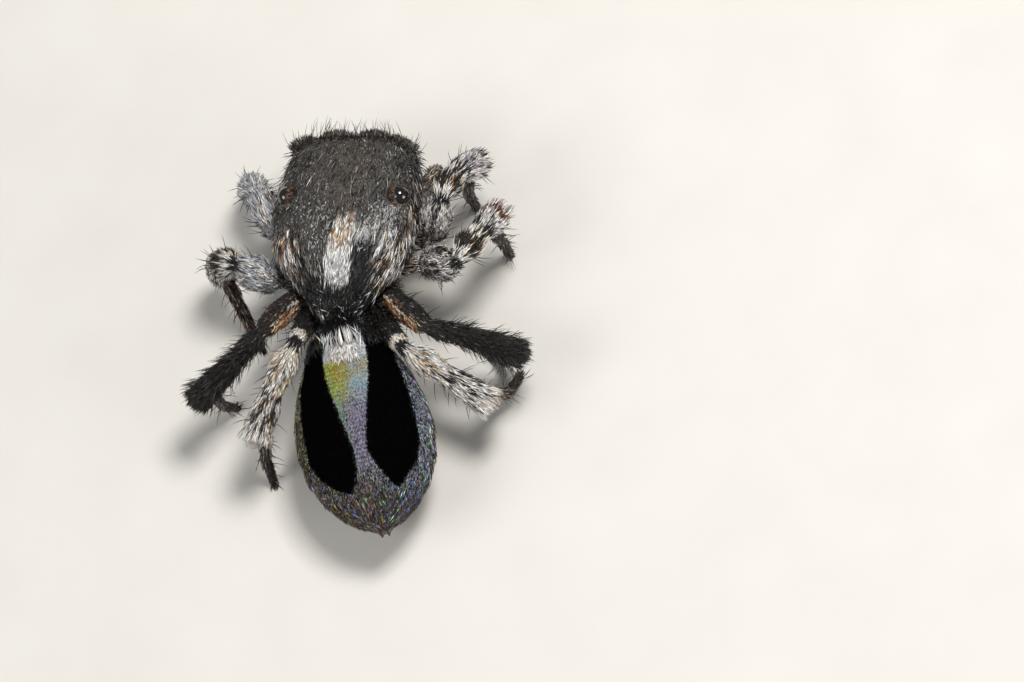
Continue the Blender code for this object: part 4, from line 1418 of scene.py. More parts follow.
def mark_abdomen(surface: Loft) -> Marking:
    """Markings of the abdomen as a function of its own axes.

    Args:
        surface: What the markings lie on.

    Returns:
        A function that gives the colours at places.
    """

    def mark(u: Array, v: Array, points: Array, normals: Array, draw: Draw) -> Array:
        """Colours at places on the abdomen: the black spots, the band and the fields round them.

        Args:
            u: Places along the surface, from 0 to 1.
            v: Places round it, from 0 to 1.
            points: The places in millimetres.
            normals: Outward unit vectors at the places.
            draw: Source of chance, or None for the mean colour.

        Returns:
            Linear colours.
        """
        side, back, height = surface.axes(u, v)
        black = spot_share(side, back, height)
        clear = 1 - black
        inside = smooth_step(0.36, 0.30, np.abs(side)) * smooth_step(1.95, 1.75, back) * (height > 0)
        band, field = clear * inside, clear * (1 - inside)
        comb = band * smooth_step(0.50, 0.46, back)
        front = band * (1 - comb) * smooth_step(1.15, 0.75, back)
        rear = band * (1 - comb) - front
        left, right = smooth_step(-0.10, 0.10, side), smooth_step(0.10, -0.10, side)
        edge = rear * ridge(side, 0.17, 0.07) + front * ridge(side, 0.22, 0.07)
        top = front * smooth_step(0.80, 0.62, back)
        under = smooth_step(0.10, -0.15, height)
        # shoulder: the black front beside the comb, partly the abdomen's own dark colour and partly
        # painted shade of the shadowed gap at the waist.
        shoulder = np.maximum(field * smooth_step(0.48, 0.36, back) * (1 - under),
                              smooth_step(0.27, 0.22, back))
        comb = comb * (1 - shoulder)
        ripple = (0.5 + 0.5 * np.sin(2 * np.pi * back / SCALE_ROWS + 2.5 * side)) ** 2
        back_field = field * smooth_step(1.55, 1.9, back) * (1 - under)
        tail = smooth_step(2.00, 2.20, back)
        margin = field * (1 - under) - shoulder
        bright = smooth_step(0.2, -0.5, side)
        found = TAIL.pick({
            "black": 60.0 * black + 9.0 * shoulder + 0.4 * under + 2.0 * margin,
            "soot": 1.8 * margin + 0.8 * under + 1.5 * shoulder + 0.2 * rear,
            "white": 2.5 * comb + 0.10 * band + 0.35 * margin * (0.2 + bright) * (1 - tail),
            "silver": 0.8 * comb + 1.1 * rear + 0.8 * margin * (0.3 + bright) * (1 - tail),
            "gold": 1.5 * front * left + 0.8 * top + 0.25 * margin * (1 - bright),
            "lime": 1.5 * front * left + 0.7 * edge,
            "green": 0.6 * front * left + 1.4 * edge + 0.15 * margin,
            "rust": 0.9 * top, "ice": 2.2 * front * right + 0.15 * margin * bright,
            "cyan": 0.7 * front * right + 0.9 * edge + 0.15 * margin * bright,
            "mauve": 1.2 * rear + 0.5 * front * right + 0.2 * margin * (1 - tail),
            "violet": 0.35 * rear + 0.25 * margin * bright + 0.35 * back_field,
            "blue": 0.2 * rear + 0.25 * margin * bright + 0.25 * back_field,
            "sky": 0.3 * margin * bright, "orchid": 0.35 * margin * bright,
            "mint": 0.25 * margin * (0.4 + bright),
            "dusk": 0.3 * rear + 0.2 * margin + 2.4 * back_field,
            "bronze": (0.7 * margin * (1 - bright) + 0.5 * tail + 0.5 * back_field) * (1 - under),
            "brown": 0.9 * under + 3.5 * tail + 0.4 * back_field,
        }, draw, spread=0.45)
        lines = ripple * np.minimum(rear + 0.6 * front, 1.0)
        return found * (1 - 0.6 * lines)[:, None]

    return mark


def mark_leg(leg: Leg, part: str) -> Marking:
    """Markings of one part of a leg.

    Args:
        leg: The leg.
        part: coxa, femur, shin or foot.

    Returns:
        A function that gives the colours at places on that part.
    """

    def third(u: Array, v: Array, normals: Array) -> dict[str, Array]:
        """The black third pair, whose femora have a warm inner face between pale lines.

        Args:
            u: Places along the surface, from 0 to 1.
            v: Places round it, from 0 to 1.
            normals: Outward unit vectors at the places.

        Returns:
            Weight of each colour.
        """
        one = np.ones(len(u))
        around = (v - 0.75 + 0.5) % 1.0 - 0.5
        inward = around * leg.side.value
        warm = ridge(inward, 0.20, 0.10) * (part == "femur") * smooth_step(0.04, 0.14, u)
        warm = warm * smooth_step(0.97, 0.85, u)
        lines = (ridge(inward, 0.33, 0.045) + 0.6 * ridge(inward, 0.09, 0.03)) * (part == "femur")
        rest = (1 - np.minimum(warm * 1.3, 1.0)) * (1 - 0.8 * np.minimum(lines, 1.0))
        warm = warm * (1 - 0.9 * np.minimum(lines, 1.0))
        return {
            "black": 0.9 * rest, "charcoal": 1.0 * rest, "grey": 0.16 * rest,
            "pale": 0.03 * one, "rust": 1.1 * warm, "orange": 0.8 * warm,
            "brown": 0.25 * rest + 0.3 * warm, "cream": 0.25 * warm + 1.0 * lines,
            "white": 0.4 * lines, "peach": 0.4 * warm,
        }

    def femur(u: Array, v: Array, normals: Array) -> dict[str, Array]:
        """Grey and white femur with a black knee and a pale ring before it.

        Args:
            u: Places along the surface, from 0 to 1.
            v: Places round it, from 0 to 1.
            normals: Outward unit vectors at the places.

        Returns:
            Weight of each colour.
        """
        knee = smooth_step(0.88, 0.94, u) * (leg.name != "left_1")
        ring = ridge(u, 0.82, 0.05) if leg.pair == 4 else ridge(u, 0.80, 0.05) * 0.5
        fore = 1.0 if leg.pair < 3 else 0.0
        left = 1.0 if leg.side is Side.LEFT else 0.0
        dull = 1.0 - 0.6 * fore * left
        if leg.pair == 4:
            base = smooth_step(0.76, 0.70, u)
            return {
                "black": 2.0 * base + 3.0 * knee, "charcoal": 0.8 * base + knee, "grey": 0.1 * base,
                "white": (1 - base) * (1 - knee), "cream": 0.5 * (1 - base) * (1 - knee),
                "pale": 0.3 * (1 - base) * (1 - knee),
            }
        return {
            "grey": 0.9 * (1 - knee), "pale": (0.9 + 0.6 * fore * left) * (1 - knee),
            "white": (0.5 + 3.0 * ring + 0.5 * fore * left) * (1 - knee),
            "frost": 2.2 * fore * left * (1 - knee), "charcoal": 0.30 * dull * (1 - knee) + knee,
            "black": 0.28 * dull * (1 - knee) + 2.0 * knee, "brown": 0.2 * dull * (1 - knee),
            "blue": (0.1 + 0.8 * left) * fore * (1 - knee), "cream": 0.15 * (1 - knee),
        }

    def shin(u: Array, v: Array, normals: Array) -> dict[str, Array]:
        """Patella with a dark or warm spot in a pale ring, then a black band and a pale tibia.

        Args:
            u: Places along the surface, from 0 to 1.
            v: Places round it, from 0 to 1.
            normals: Outward unit vectors at the places.

        Returns:
            Weight of each colour.
        """
        if leg.pair == 1 and leg.side is Side.LEFT:
            one = np.ones(len(u))
            return {"blue": 0.8 * one, "frost": 2.0 * one, "pale": one, "grey": 0.4 * one,
                    "white": 0.6 * one}
        joint = {1: 0.50, 2: 0.50, 4: 0.52}[leg.pair]
        patella = smooth_step(joint + 0.01, joint - 0.03, u)
        tibia = 1 - patella
        band = ridge(u, joint, 0.032) + smooth_step(0.07, 0.02, u)
        top = smooth_step(-0.1, 0.7, normals[:, 2])
        end = smooth_step(0.90, 0.97, u)
        if leg.pair == 4:
            spot = ridge(u, 0.27, 0.12) * top * patella
            return {
                "white": 2.0 + 1.5 * end + 1.2 * patella, "cream": 0.9 * patella + 0.4,
                "pale": 0.5 * tibia + 0.2,
                "peach": 0.6 * spot, "orange": 0.15 * spot, "brown": 0.35 * tibia * (1 - end) + 0.15,
                "black": 0.22 + 0.25 * tibia * (1 - end) + 6.0 * band, "charcoal": 0.2 + 0.0 * u,
                "rust": 0.12 * tibia,
            }
        spot = ridge(u, 0.25, 0.085) * top * patella
        ring = 1 - 0.95 * spot
        second = ridge(u, 0.82, 0.06) * top * (leg.pair == 2)
        tip = ridge(u, 0.95, 0.04) * (leg.pair == 1)
        return {
            "white": (0.9 + 1.6 * patella + 1.2 * ridge(u, 0.82, 0.12)) * ring * (1 - second),
            "cream": 0.7 * patella * ring,
            "pale": 0.5 * tibia, "lilac": 0.9 * tibia * (leg.pair == 1), "grey": 0.4 * tibia,
            "black": 0.30 + 7.0 * band + 8.0 * spot, "charcoal": 0.25 + 3.0 * spot + 2.0 * tip,
            "brown": 9.0 * spot + 2.0 * tip, "rust": 6.0 * second, "orange": 0.25 * spot,
        }

    def foot(u: Array, v: Array, normals: Array) -> dict[str, Array]:
        """Dark metatarsus and tarsus with a few pale hairs."""
        toe = smooth_step(0.50, 0.62, u)
        one = np.ones(len(u))
        return {"brown": one, "charcoal": 0.8 * one, "grey": 0.5 * (1 - toe), "black": 0.4 + toe,
                "rust": 0.3 * one, "pale": 0.3 * (1 - toe), "peach": 0.2 * (1 - toe)}

    def coxa(u: Array, v: Array, normals: Array) -> dict[str, Array]:
        """Leg root: streaked like the flank on the front pairs, black at the waist."""
        one = np.ones(len(u))
        if leg.pair < 3:
            return {"brown": one, "black": 0.9 * one, "cream": 0.8 * one, "white": 0.8 * one,
                    "pale": 0.5 * one}
        return {"black": 2.0 * one, "charcoal": 0.6 * one, "brown": 0.3 * one}

    rule = {"coxa": coxa, "femur": femur, "shin": shin, "foot": foot}[part]
    length = leg.tubes[PARTS.index(part)].length
    if leg.pair == 3 and part in ("femur", "shin"):
        rule = third

    def mark(u: Array, v: Array, points: Array, normals: Array, draw: Draw) -> Array:
        """Colours at places on the leg, in streaks along it."""
        chance = streaks(u, v, length / 0.15, 30, draw) if draw is not None else None
        return LIMB.pick(rule(u, v, normals), draw, chance)

    return mark


def mark_palp(u: Array, v: Array, points: Array, normals: Array, draw: Draw) -> Array:
    """Feelers: dark with cream hairs on top."""
    one = np.ones(len(u))
    return LIMB.pick({"charcoal": one, "brown": 0.6 * one, "cream": 0.5 * one, "grey": 0.4 * one}, draw)


def all_markings(animal: Animal) -> list[tuple[Surface, Marking]]:
    """Every surface with its markings."""
    rows: list[tuple[Surface, Marking]] = [
        (animal.carapace, mark_carapace(animal.carapace)),
        (animal.abdomen, mark_abdomen(animal.abdomen)),
        # The waist takes the feelers' dark colours as painted shade of the gap between the two bodies.
        (animal.waist, mark_palp),
        (animal.face, mark_face(animal.face)),
    ]
    for leg in animal.legs:
        rows += [(tube, mark_leg(leg, part)) for part, tube in zip(PARTS, leg.tubes)]
    rows += [(palp, mark_palp) for palp in animal.palps]
    return rows


def grow(coat: Coat, surface: Surface, marking: Marking, growth: Growth, seed: int,
         density: Density | None = None, room: tuple = WHOLE) -> None:
    """Grow one layer of tufts on one surface.

    Args:
        coat: The piece that it joins.
        surface: What it grows on.
        marking: Colour by place.
        growth: The layer's sizes.
        seed: Seed of its draw.
        density: Weight of the draw by place.
        room: Lowest and highest corner of its room on the coat's map.
    """
    draw = np.random.default_rng(COAT_SEED + seed)
    u, v = surface.scatter(growth.count, COAT_SEED * 100 + seed, density)
    points, normals, along = surface.frame_at(u, v, surface.coat - 0.003)
    low, high = np.array(room[0]), np.array(room[1])
    colours = marking(u, v, points, normals, draw)
    coat.add(growth, draw, points, normals, along * growth.way, colours,
             low + (high - low) * np.stack((u, v), axis=-1), 0.25)


@dataclass
class Eyes:
    """The eight eyes as clear domes that replace the plain balls."""

    placing: Placing
    rows: int = 25
    columns: int = 48

    def dome(self, radius: float, place: tuple, look: tuple, side: Side) -> tuple[Array, list]:
        """Points in millimetres and faces of one eye.

        Args:
            radius: Radius of the ball.
            place: Its centre on the right side.
            look: Where it looks, on the right side.
            side: The side of the animal.

        Returns:
            Points and faces.
        """
        centre, ahead, across, other = eye_axes(place, look, side)
        polar = np.linspace(0.0, np.pi, self.rows)
        path = centre + ahead * radius * -np.cos(polar)[:, None]
        turn = 2 * np.pi * np.arange(self.columns) / self.columns
        ring = across * np.cos(turn)[:, None] + other * np.sin(turn)[:, None]
        half = radius * np.sin(polar)[1:-1, None, None]
        rings = path[1:-1, None, :] + half * ring[None, :, :]
        faces = [face[::-1] for face in ring_faces(self.rows - 2, self.columns)]
        return np.vstack((rings.reshape(-1, 3), path[:1], path[-1:])), faces

    def build(self, finish: bpy.types.Material) -> None:
        """Make one dome for each eye.

        Args:
            finish: Its material.
        """
        for key, eye in EYES.items():
            for side in Side:
                name = f"{key}_{side.name.lower()}"
                points, faces = self.dome(*eye, side)
                made = mesh_object(f"lens_{name}", self.placing.to_row(points), faces)
                made.data.materials.append(finish)
                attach(made, "root")
                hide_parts(f"eye_{name}")
        LOG.info("eyes: 8 domes")


@dataclass
class Claws:
    """A pair of small hooked claws on every toe.

    The line's points are ahead, up and out from the toe's end.
    """

    animal: Animal
    placing: Placing
    girth: tuple = ((0.0, 0.011), (0.5, 0.009), (1.0, 0.002))
    line: tuple = ((-0.020, 0.050, 0.020), (0.050, 0.062, 0.030), (0.075, 0.016, 0.032))
    bend: float = 0.06

    def build(self, finish: bpy.types.Material) -> None:
        """Make one piece of all claws.

        Args:
            finish: Its material.
        """
        claws = []
        for leg in self.animal.legs:
            toe, way = leg.foot.places[-1], leg.foot.ways[-1]
            ahead = unit(way * np.array((1.0, 1.0, 0.0)))
            across = np.cross(ahead, UP)
            for sign in (-1.0, 1.0):
                line = [toe + ahead * far + UP * high + across * sign * out
                        for far, high, out in self.line]
                path = rounded_path(line, (0.0, self.bend, 0.0), 4, 6)
                claws.append(Tube("claw", path, self.girth, across).grid(14, 8, 0.0))
        points, faces = joined(claws)
        made = mesh_object("claws", self.placing.to_row(points), faces)
        made.data.materials.append(finish)
        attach(made, "root")
        LOG.info("claws: %d faces", len(faces))


@dataclass
class HeadCoat:
    """Scales, streaks, bristles and the pale tuft of the carapace and its eye rims."""

    animal: Animal
    placing: Placing
    scale: Growth = Growth(40000, (0.034, 0.060), 0.0118, 0.003, 20, 8, 16, 1, 0.16, way=-1.0)
    flank_hair: Growth = Growth(6000, (0.12, 0.22), 0.0125, 0.006, 26, 10, 9, 3, way=-1.0)
    tuft_hair: Growth = Growth(1000, (0.12, 0.20), 0.016, 0.008, 28, 8, 6, 3, way=-1.0)
    # Painted shade: black hairs at the rear edge that fill the shadowed gap over the waist.
    rear_shadow_hair: Growth = Growth(1500, (0.14, 0.26), 0.012, 0.006, 34, -6, 18, 3, way=-1.0)
    # Painted highlight: short white scales where light glints on the top of the head.
    painted_glint_scale: Growth = Growth(900, (0.05, 0.09), 0.014, 0.004, 30, 14, 30, 1, 0.2, way=-1.0)
    # Painted shade: black hairs that fill the shadowed gap over the waist.
    waist_shadow_hair: Growth = Growth(900, (0.14, 0.26), 0.012, 0.006, 62, 24, 30, 3)
    waist_white: Growth = Growth(3, (0.16, 0.20), 0.016, 0.008, 80, 30, 30, 3)
    brow_bristle: Growth = Growth(80, (0.18, 0.32), 0.007, 0.006, 66, 44, 22, 4, tip=0.8)
    side_bristle: Growth = Growth(150, (0.12, 0.22), 0.008, 0.007, 60, 34, 30, 4, way=-1.0, tip=0.8)
    top_bristle: Growth = Growth(160, (0.07, 0.12), 0.008, 0.007, 58, 30, 40, 3, tip=0.8)
    rim_scale: Growth = Growth(5200, (0.035, 0.065), 0.013, 0.004, 22, 6, 20, 1)
    lid_scale: Growth = Growth(5200, (0.022, 0.045), 0.011, 0.004, 22, 6, 20, 1)
    brow_scale: Growth = Growth(5200, (0.06, 0.12), 0.013, 0.005, 46, 22, 18)
    face_scale: Growth = Growth(5200, (0.035, 0.060), 0.012, 0.004, 26, 10, 18, 1, 0.1)
    lip_hair: Growth = Growth(420, (0.09, 0.16), 0.012, 0.006, 44, 6, 16, 3)
    jaw_hair: Growth = Growth(800, (0.04, 0.09), 0.011, 0.005, 26, 10, 22)
    jaw_plan: tuple = (("chelicera_left", 800), ("chelicera_right", 800), ("sternum", 1100),
                       ("mouth_plates", 400))
    jaw_depth: float = 0.010

    def __post_init__(self) -> None:
        """Find the carapace and its markings."""
        self.surface = self.animal.carapace
        self.marking = mark_carapace(self.surface)

    def hide(self, u: Array, v: Array, spare: float = 1.0) -> Array:
        """Weight that keeps tufts off the eyes."""
        side, ahead, height = self.surface.axes(u, v)
        keep = np.ones(len(u))
        for radius, place, look in EYES.values():
            front = np.array(place) + unit(np.array(look)) * radius * 0.5
            away = np.sqrt((np.abs(side) - front[0]) ** 2 + (ahead - front[1]) ** 2
                           + (height - front[2]) ** 2)
            keep *= away > radius * 0.92 * spare
        return keep

    def over(self, u: Array, v: Array) -> Array:
        """Everywhere above the rim but the eyes and the bare patch."""
        side, ahead, height = self.surface.axes(u, v)
        return self.hide(u, v) * (height > -0.005) * (1 - 0.97 * bald(side, ahead))

    def flank(self, u: Array, v: Array) -> Array:
        """More hairs low on the sides and towards the rear."""
        side, ahead, height = self.surface.axes(u, v)
        low = smooth_step(0.50, 0.28, height) * smooth_step(1.95, 1.5, ahead)
        behind = smooth_step(0.95, 0.6, ahead) * smooth_step(0.36, 0.50, np.abs(side))
        return (self.hide(u, v) * (0.05 + np.maximum(low, behind)) * (height > -0.01)
                * (1 - 0.9 * bald(side, ahead + 0.1)))

    def tuft(self, u: Array, v: Array) -> Array:
        """The pale stripe on the middle line."""
        side, ahead, height = self.surface.axes(u, v)
        middle = 0.03 + 0.06 * smooth_step(0.5, 0.9, ahead)
        wide = 0.085 + 0.04 * smooth_step(0.7, 0.4, ahead)
        return (ridge(side, middle, wide) * smooth_step(1.04, 0.92, ahead)
                * smooth_step(0.28, 0.34, ahead) * (height > 0))

    def glint(self, u: Array, v: Array) -> Array:
        """The patch of painted highlight beside the pale stripe, weaker on the left."""
        side, ahead, height = self.surface.axes(u, v)
        found = ridge(side, 0.30, 0.16) * ridge(ahead, 0.78, 0.13)
        found = found + 0.6 * ridge(side, 0.52, 0.10) * ridge(ahead, 0.98, 0.10)
        found = found + 0.12 * ridge(side, -0.25, 0.2) * ridge(ahead, 0.9, 0.3)
        return found * (height > 0) * self.hide(u, v)

    def rear(self, u: Array, v: Array) -> Array:
        """The rear edge over the waist, whose black hairs are painted shade of the gap there."""
        side, ahead, height = self.surface.axes(u, v)
        return smooth_step(0.34, 0.10, ahead) * (height > 0.0) * (np.abs(side) < 0.6)

    @staticmethod
    def waist_top(u: Array, v: Array) -> Array:
        """The middle of the waist's back."""
        return ridge(v, 0.25, 0.06) * ridge(u, 0.5, 0.3)

    def brow(self, u: Array, v: Array) -> Array:
        """Along the front edge and round the front eyes."""
        _, ahead, height = self.surface.axes(u, v)
        return self.hide(u, v, 0.9) * smooth_step(1.82, 2.0, ahead) * smooth_step(0.1, 0.3, height)

    def sides(self, u: Array, v: Array) -> Array:
        """Thinly over the upper sides."""
        side, _, height = self.surface.axes(u, v)
        return self.hide(u, v) * smooth_step(0.5, 0.7, np.abs(side)) * (height > 0.05)

    def top(self, u: Array, v: Array) -> Array:
        """The top of the head."""
        return self.hide(u, v) * (self.surface.axes(u, v)[2] > 0.3)

    def front(self, u: Array, v: Array) -> Array:
        """The face between its eyes."""
        body = self.surface.frame
        side, _, height = ((self.animal.face.place(u, v) - body[:3, 3]) @ body[:3, :3]).T
        keep = np.ones(len(u))
        for radius, place, _ in EYES.values():
            keep *= np.hypot(np.abs(side) - place[0], height - place[2]) > radius * 0.98
        return keep

    def lip(self, u: Array, v: Array) -> Array:
        """The lower edge of the face, over the jaws."""
        return self.front(u, v) * ridge(v, 0.75, 0.17) * smooth_step(0.5, 0.9, u)

    def scales(self) -> None:
        """One close layer of fine scales that lie back."""
        coat = Coat("coat_head_scales", "dark_scales", GLINTS.build())
        grow(coat, self.surface, self.marking, self.scale, 1, self.over)
        coat.build(self.placing)

    def streaks(self) -> None:
        """Longer streaky hairs: sparse on top, dense on flanks and rear, and the midline tuft."""
        coat = Coat("coat_head_hairs", "dark_scales", SCALES.build())
        grow(coat, self.surface, mark_carapace(self.surface, True), self.flank_hair, 2, self.flank)
        grow(coat, self.surface, self.marking, self.tuft_hair, 3, self.tuft)
        grow(coat, self.surface, self.marking, self.rear_shadow_hair, 4, self.rear)
        # White scales as painted highlight in the glinting patch.
        grow(coat, self.surface, plain("#f4f2f0"), self.painted_glint_scale, 10, self.glint)
        # Black hairs on the waist as painted shade of the gap between the bodies.
        grow(coat, self.animal.waist, plain("#0d0b0a"), self.waist_shadow_hair, 8)
        grow(coat, self.animal.waist, plain("#e6e3df"), self.waist_white, 9, self.waist_top)
        coat.build(self.placing)

    def bristles(self) -> None:
        """Long black bristles that stand off the face, the brow and the sides."""
        coat = Coat("coat_head_bristles", "black_coat", BRISTLES.build())
        for growth, seed, density in (
            (self.brow_bristle, 5, self.brow), (self.side_bristle, 6, self.sides),
            (self.top_bristle, 7, self.top),
        ):
            grow(coat, self.surface, plain("#14100e"), growth, seed, density)
        coat.build(self.placing)

    def rim(self, coat: Coat, draw: np.random.Generator, key: str, side: Side) -> None:
        """Scales on the outside, the edge and, at the front, the brow of one eye's rim.

        Args:
            coat: The piece that the layers join.
            draw: Source of chance, or None for the mean colour.
            key: Name of the eye.
            side: The side of the animal.
        """
        radius, place, look = EYES[key]
        centre, ahead, across, other = eye_axes(place, look, side)
        count = int(self.rim_scale.count * radius)
        turn = draw.uniform(0, 2 * np.pi, count)
        along = draw.uniform(-0.45, 0.30, count)
        out = across * np.cos(turn)[:, None] + other * np.sin(turn)[:, None]
        wall = np.interp(along, RIM_ALONG, rim_walls(radius))
        roots = centre + ahead * (radius * along)[:, None] + out * (radius + wall + 0.003)[:, None]
        warm = smooth_step(-0.15, 0.1, along) * (key == "rear_side")
        tints = HEAD.pick({
            "charcoal": 1.0 - warm, "grey": 0.5 * (1 - warm), "black": 0.5 - 0.3 * warm,
            "tan": 0.2 + 0.7 * warm, "orange": 0.8 * warm, "brown": 0.2 + 1.6 * warm,
        }, draw)
        uv = np.stack((turn / (2 * np.pi), 0.5 + 0.4 * along), axis=-1)
        coat.add(self.rim_scale, draw, roots, out, np.tile(-ahead, (count, 1)), tints, uv)
        reach = radius * 0.99 + draw.uniform(0.0, 0.6 * SOCKET_WALL, count)
        edge = centre + ahead * 0.24 * radius + out * reach[:, None]
        if key.startswith("front"):
            high = (out @ UP) > 0.25
            brow = centre + ahead * 0.05 * radius + out[high] * (radius + 0.4 * SOCKET_WALL)
            coat.add(self.brow_scale, draw, brow, out[high], np.tile(ahead, (len(brow), 1)),
                     tints[high], uv[high])
        coat.add(self.lid_scale, draw, edge, unit(out + 0.9 * ahead), out - 0.2 * ahead, tints, uv)

    def eye_rims(self) -> None:
        """Dark scales over the raised rims, with a warm ring of scales round the rear eyes."""
        coat = Coat("coat_eye_rims", "dark_scales", SCALES.build())
        draw = np.random.default_rng(COAT_SEED + 40)
        for key in EYES:
            for side in Side:
                self.rim(coat, draw, key, side)
        coat.build(self.placing)

    def face(self) -> None:
        """Short scales of the face and the hairs that hang over the jaws."""
        coat = Coat("coat_face", "dark_scales", SCALES.build())
        cap = self.animal.face
        grow(coat, cap, mark_face(cap), self.face_scale, 80, self.front)
        grow(coat, cap, mark_face(cap), self.lip_hair, 81, self.lip)
        coat.build(self.placing)

    def jaws(self) -> None:
        """Sparse hairs on the jaws and the underside plates."""
        coat = Coat("coat_jaws", "dark_scales", SCALES.build())
        draw = np.random.default_rng(COAT_SEED + 90)
        for index, (name, count) in enumerate(self.jaw_plan):
            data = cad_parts[name].data
            data.calc_loop_triangles()
            spots = self.placing.from_row(np.array([vert.co for vert in data.vertices]))
            trios = np.array([tuple(face.vertices) for face in data.loop_triangles])
            a, b, c = (spots[trios[:, k]] for k in range(3))
            cross = np.cross(b - a, c - a)
            area = np.linalg.norm(cross, axis=1)
            pick = draw.choice(len(trios), size=count, p=area / area.sum())
            one, two = np.sqrt(draw.random(count))[:, None], draw.random(count)[:, None]
            roots = a[pick] * (1 - one) + b[pick] * one * (1 - two) + c[pick] * one * two
            normals = unit(cross[pick])
            middle = spots.mean(0)
            way = np.array((0.0, -0.6, -0.8)) if "chelicera" in name else np.array((0.0, -1.0, -0.1))
            angle = np.arctan2(roots[:, 1] - middle[1], roots[:, 0] - middle[0]) / (2 * np.pi) + 0.5
            rise = (roots[:, 2] - spots[:, 2].min()) / (np.ptp(spots[:, 2]) + 1e-9)
            full = np.ones(count)
            colours = HEAD.pick(
                {"brown": full, "black": 0.5 * full, "tan": 0.6 * full, "ash": 0.4 * full}, draw
            )
            uv = np.stack(((index + angle) / len(self.jaw_plan), rise), axis=-1)
            coat.add(self.jaw_hair, draw, roots - normals * self.jaw_depth, normals,
                     np.tile(way, (count, 1)), colours, uv)
        coat.build(self.placing)

    def build(self) -> None:
        """Grow all layers."""
        self.scales()
        self.streaks()
        self.bristles()
        self.eye_rims()
        self.face()
        self.jaws()


@dataclass
class TailCoat:
    """Pile, interference scales, comb and hairs of the abdomen."""

    animal: Animal
    placing: Placing
    pile_hair: Growth = Growth(20000, (0.020, 0.032), 0.012, 0.003, 34, 22, 24, 1)
    sheen_scale: Growth = Growth(26000, (0.030, 0.048), 0.018, 0.003, 20, 8, 16, 1, 0.22, tip=1.9)
    rim_scale: Growth = Growth(3200, (0.034, 0.052), 0.026, 0.004, 26, 12, 22, 1, 0.26, tip=2.4)
    band_scale: Growth = Growth(12000, (0.018, 0.026), 0.013, 0.003, 34, 14, 12, 1, 0.15, tip=1.9)
    comb_hair: Growth = Growth(240, (0.08, 0.13), 0.015, 0.007, 40, 14, 12, 3)
    fringe_hair: Growth = Growth(26, (0.20, 0.27), 0.015, 0.010, 62, -2, 6, 4, way=-1.0)
    edge_hair: Growth = Growth(5200, (0.07, 0.13), 0.011, 0.005, 24, 8, 14)
    shoulder_shadow_hair: Growth = Growth(1500, (0.12, 0.24), 0.012, 0.006, 36, 12, 24, way=-1.0)
    comb_middle: float = -0.03
    comb_half: float = 0.14

    def __post_init__(self) -> None:
        """Find the abdomen and its markings."""
        self.surface = self.animal.abdomen
        self.marking = mark_abdomen(self.surface)

    def spots(self, u: Array, v: Array) -> Array:
        """Inside the two black spots."""
        return spot_share(*self.surface.axes(u, v)) > 0.5

    def bright(self, u: Array, v: Array) -> Array:
        """Everywhere on the back but the spots."""
        return ~self.spots(u, v) * smooth_step(-0.25, 0.0, self.surface.axes(u, v)[2])

    def rim(self, u: Array, v: Array) -> Array:
        """The fields outside the spots."""
        side, _, height = self.surface.axes(u, v)
        return self.bright(u, v) * smooth_step(0.34, 0.42, np.abs(side)) * (height > -0.05)

    def band(self, u: Array, v: Array) -> Array:
        """The band between the spots."""
        side, back, height = self.surface.axes(u, v)
        return self.bright(u, v) * (np.abs(side) < 0.33) * (back < 1.9) * (back > 0.4) * (height > 0)

    def comb(self, u: Array, v: Array) -> Array:
        """The tuft at the front of the band."""
        side, back, height = self.surface.axes(u, v)
        return ((np.abs(side - self.comb_middle) < self.comb_half) * smooth_step(0.29, 0.33, back)
                * smooth_step(0.50, 0.44, back) * (height > 0))

    def fringe(self, u: Array, v: Array) -> Array:
        """The front row of the comb, whose hairs curl forward over the waist."""
        side, back, height = self.surface.axes(u, v)
        near = np.abs(side - self.comb_middle) < self.comb_half
        return near * ridge(back, 0.32, 0.03) * (height > 0)

    def edge(self, u: Array, v: Array) -> Array:
        """Sides, tail and underside."""
        _, back, height = self.surface.axes(u, v)
        low = smooth_step(0.16, -0.05, height)
        return np.maximum(low, smooth_step(1.95, 2.25, back)) * ~self.spots(u, v)

    def shoulder(self, u: Array, v: Array) -> Array:
        """Black hairs of the front on both sides of the comb, partly the abdomen's dark front and partly
        painted shade of the gap over the waist.
        """
        side, back, height = self.surface.axes(u, v)
        beside = smooth_step(0.45, 0.30, back) * (np.abs(side - self.comb_middle) > 0.18)
        return np.maximum(beside, back < 0.26) * (height > -0.3)

    def pale(self, u: Array, v: Array, points: Array, normals: Array, draw: Draw) -> Array:
        """White hairs with a few grey ones."""
        one = np.ones(len(u))
        return COMB.pick({"white": one, "cream": 0.25 * one, "grey": 0.2 * one}, draw)

    def build(self) -> None:
        """Grow the pile, the scales and the hairs, each as one piece."""
        velvet = Coat("coat_velvet", "black_coat", VELVET.build())
        grow(velvet, self.surface, plain("#050404"), self.pile_hair, 60, self.spots)
        velvet.build(self.placing)
        sheen = Coat("coat_sheen_scales", "sheen_scales", SHEEN.build())
        for growth, seed, density in (
            (self.sheen_scale, 61, self.bright), (self.rim_scale, 67, self.rim),
            (self.band_scale, 66, self.band),
        ):
            grow(sheen, self.surface, self.marking, growth, seed, density)
        sheen.build(self.placing)
        hairs = Coat("coat_tail_hairs", "pale_coat", SCALES.build())
        for marking, growth, seed, density in (
            (self.pale, self.comb_hair, 62, self.comb), (self.pale, self.fringe_hair, 63, self.fringe),
            (self.marking, self.edge_hair, 64, self.edge),
            # Black shoulder hairs, partly the dark front and partly painted shade of the gap over the
            # waist.
            (self.marking, self.shoulder_shadow_hair, 65, self.shoulder),
        ):
            grow(hairs, self.surface, marking, growth, seed, density)
        hairs.build(self.placing)


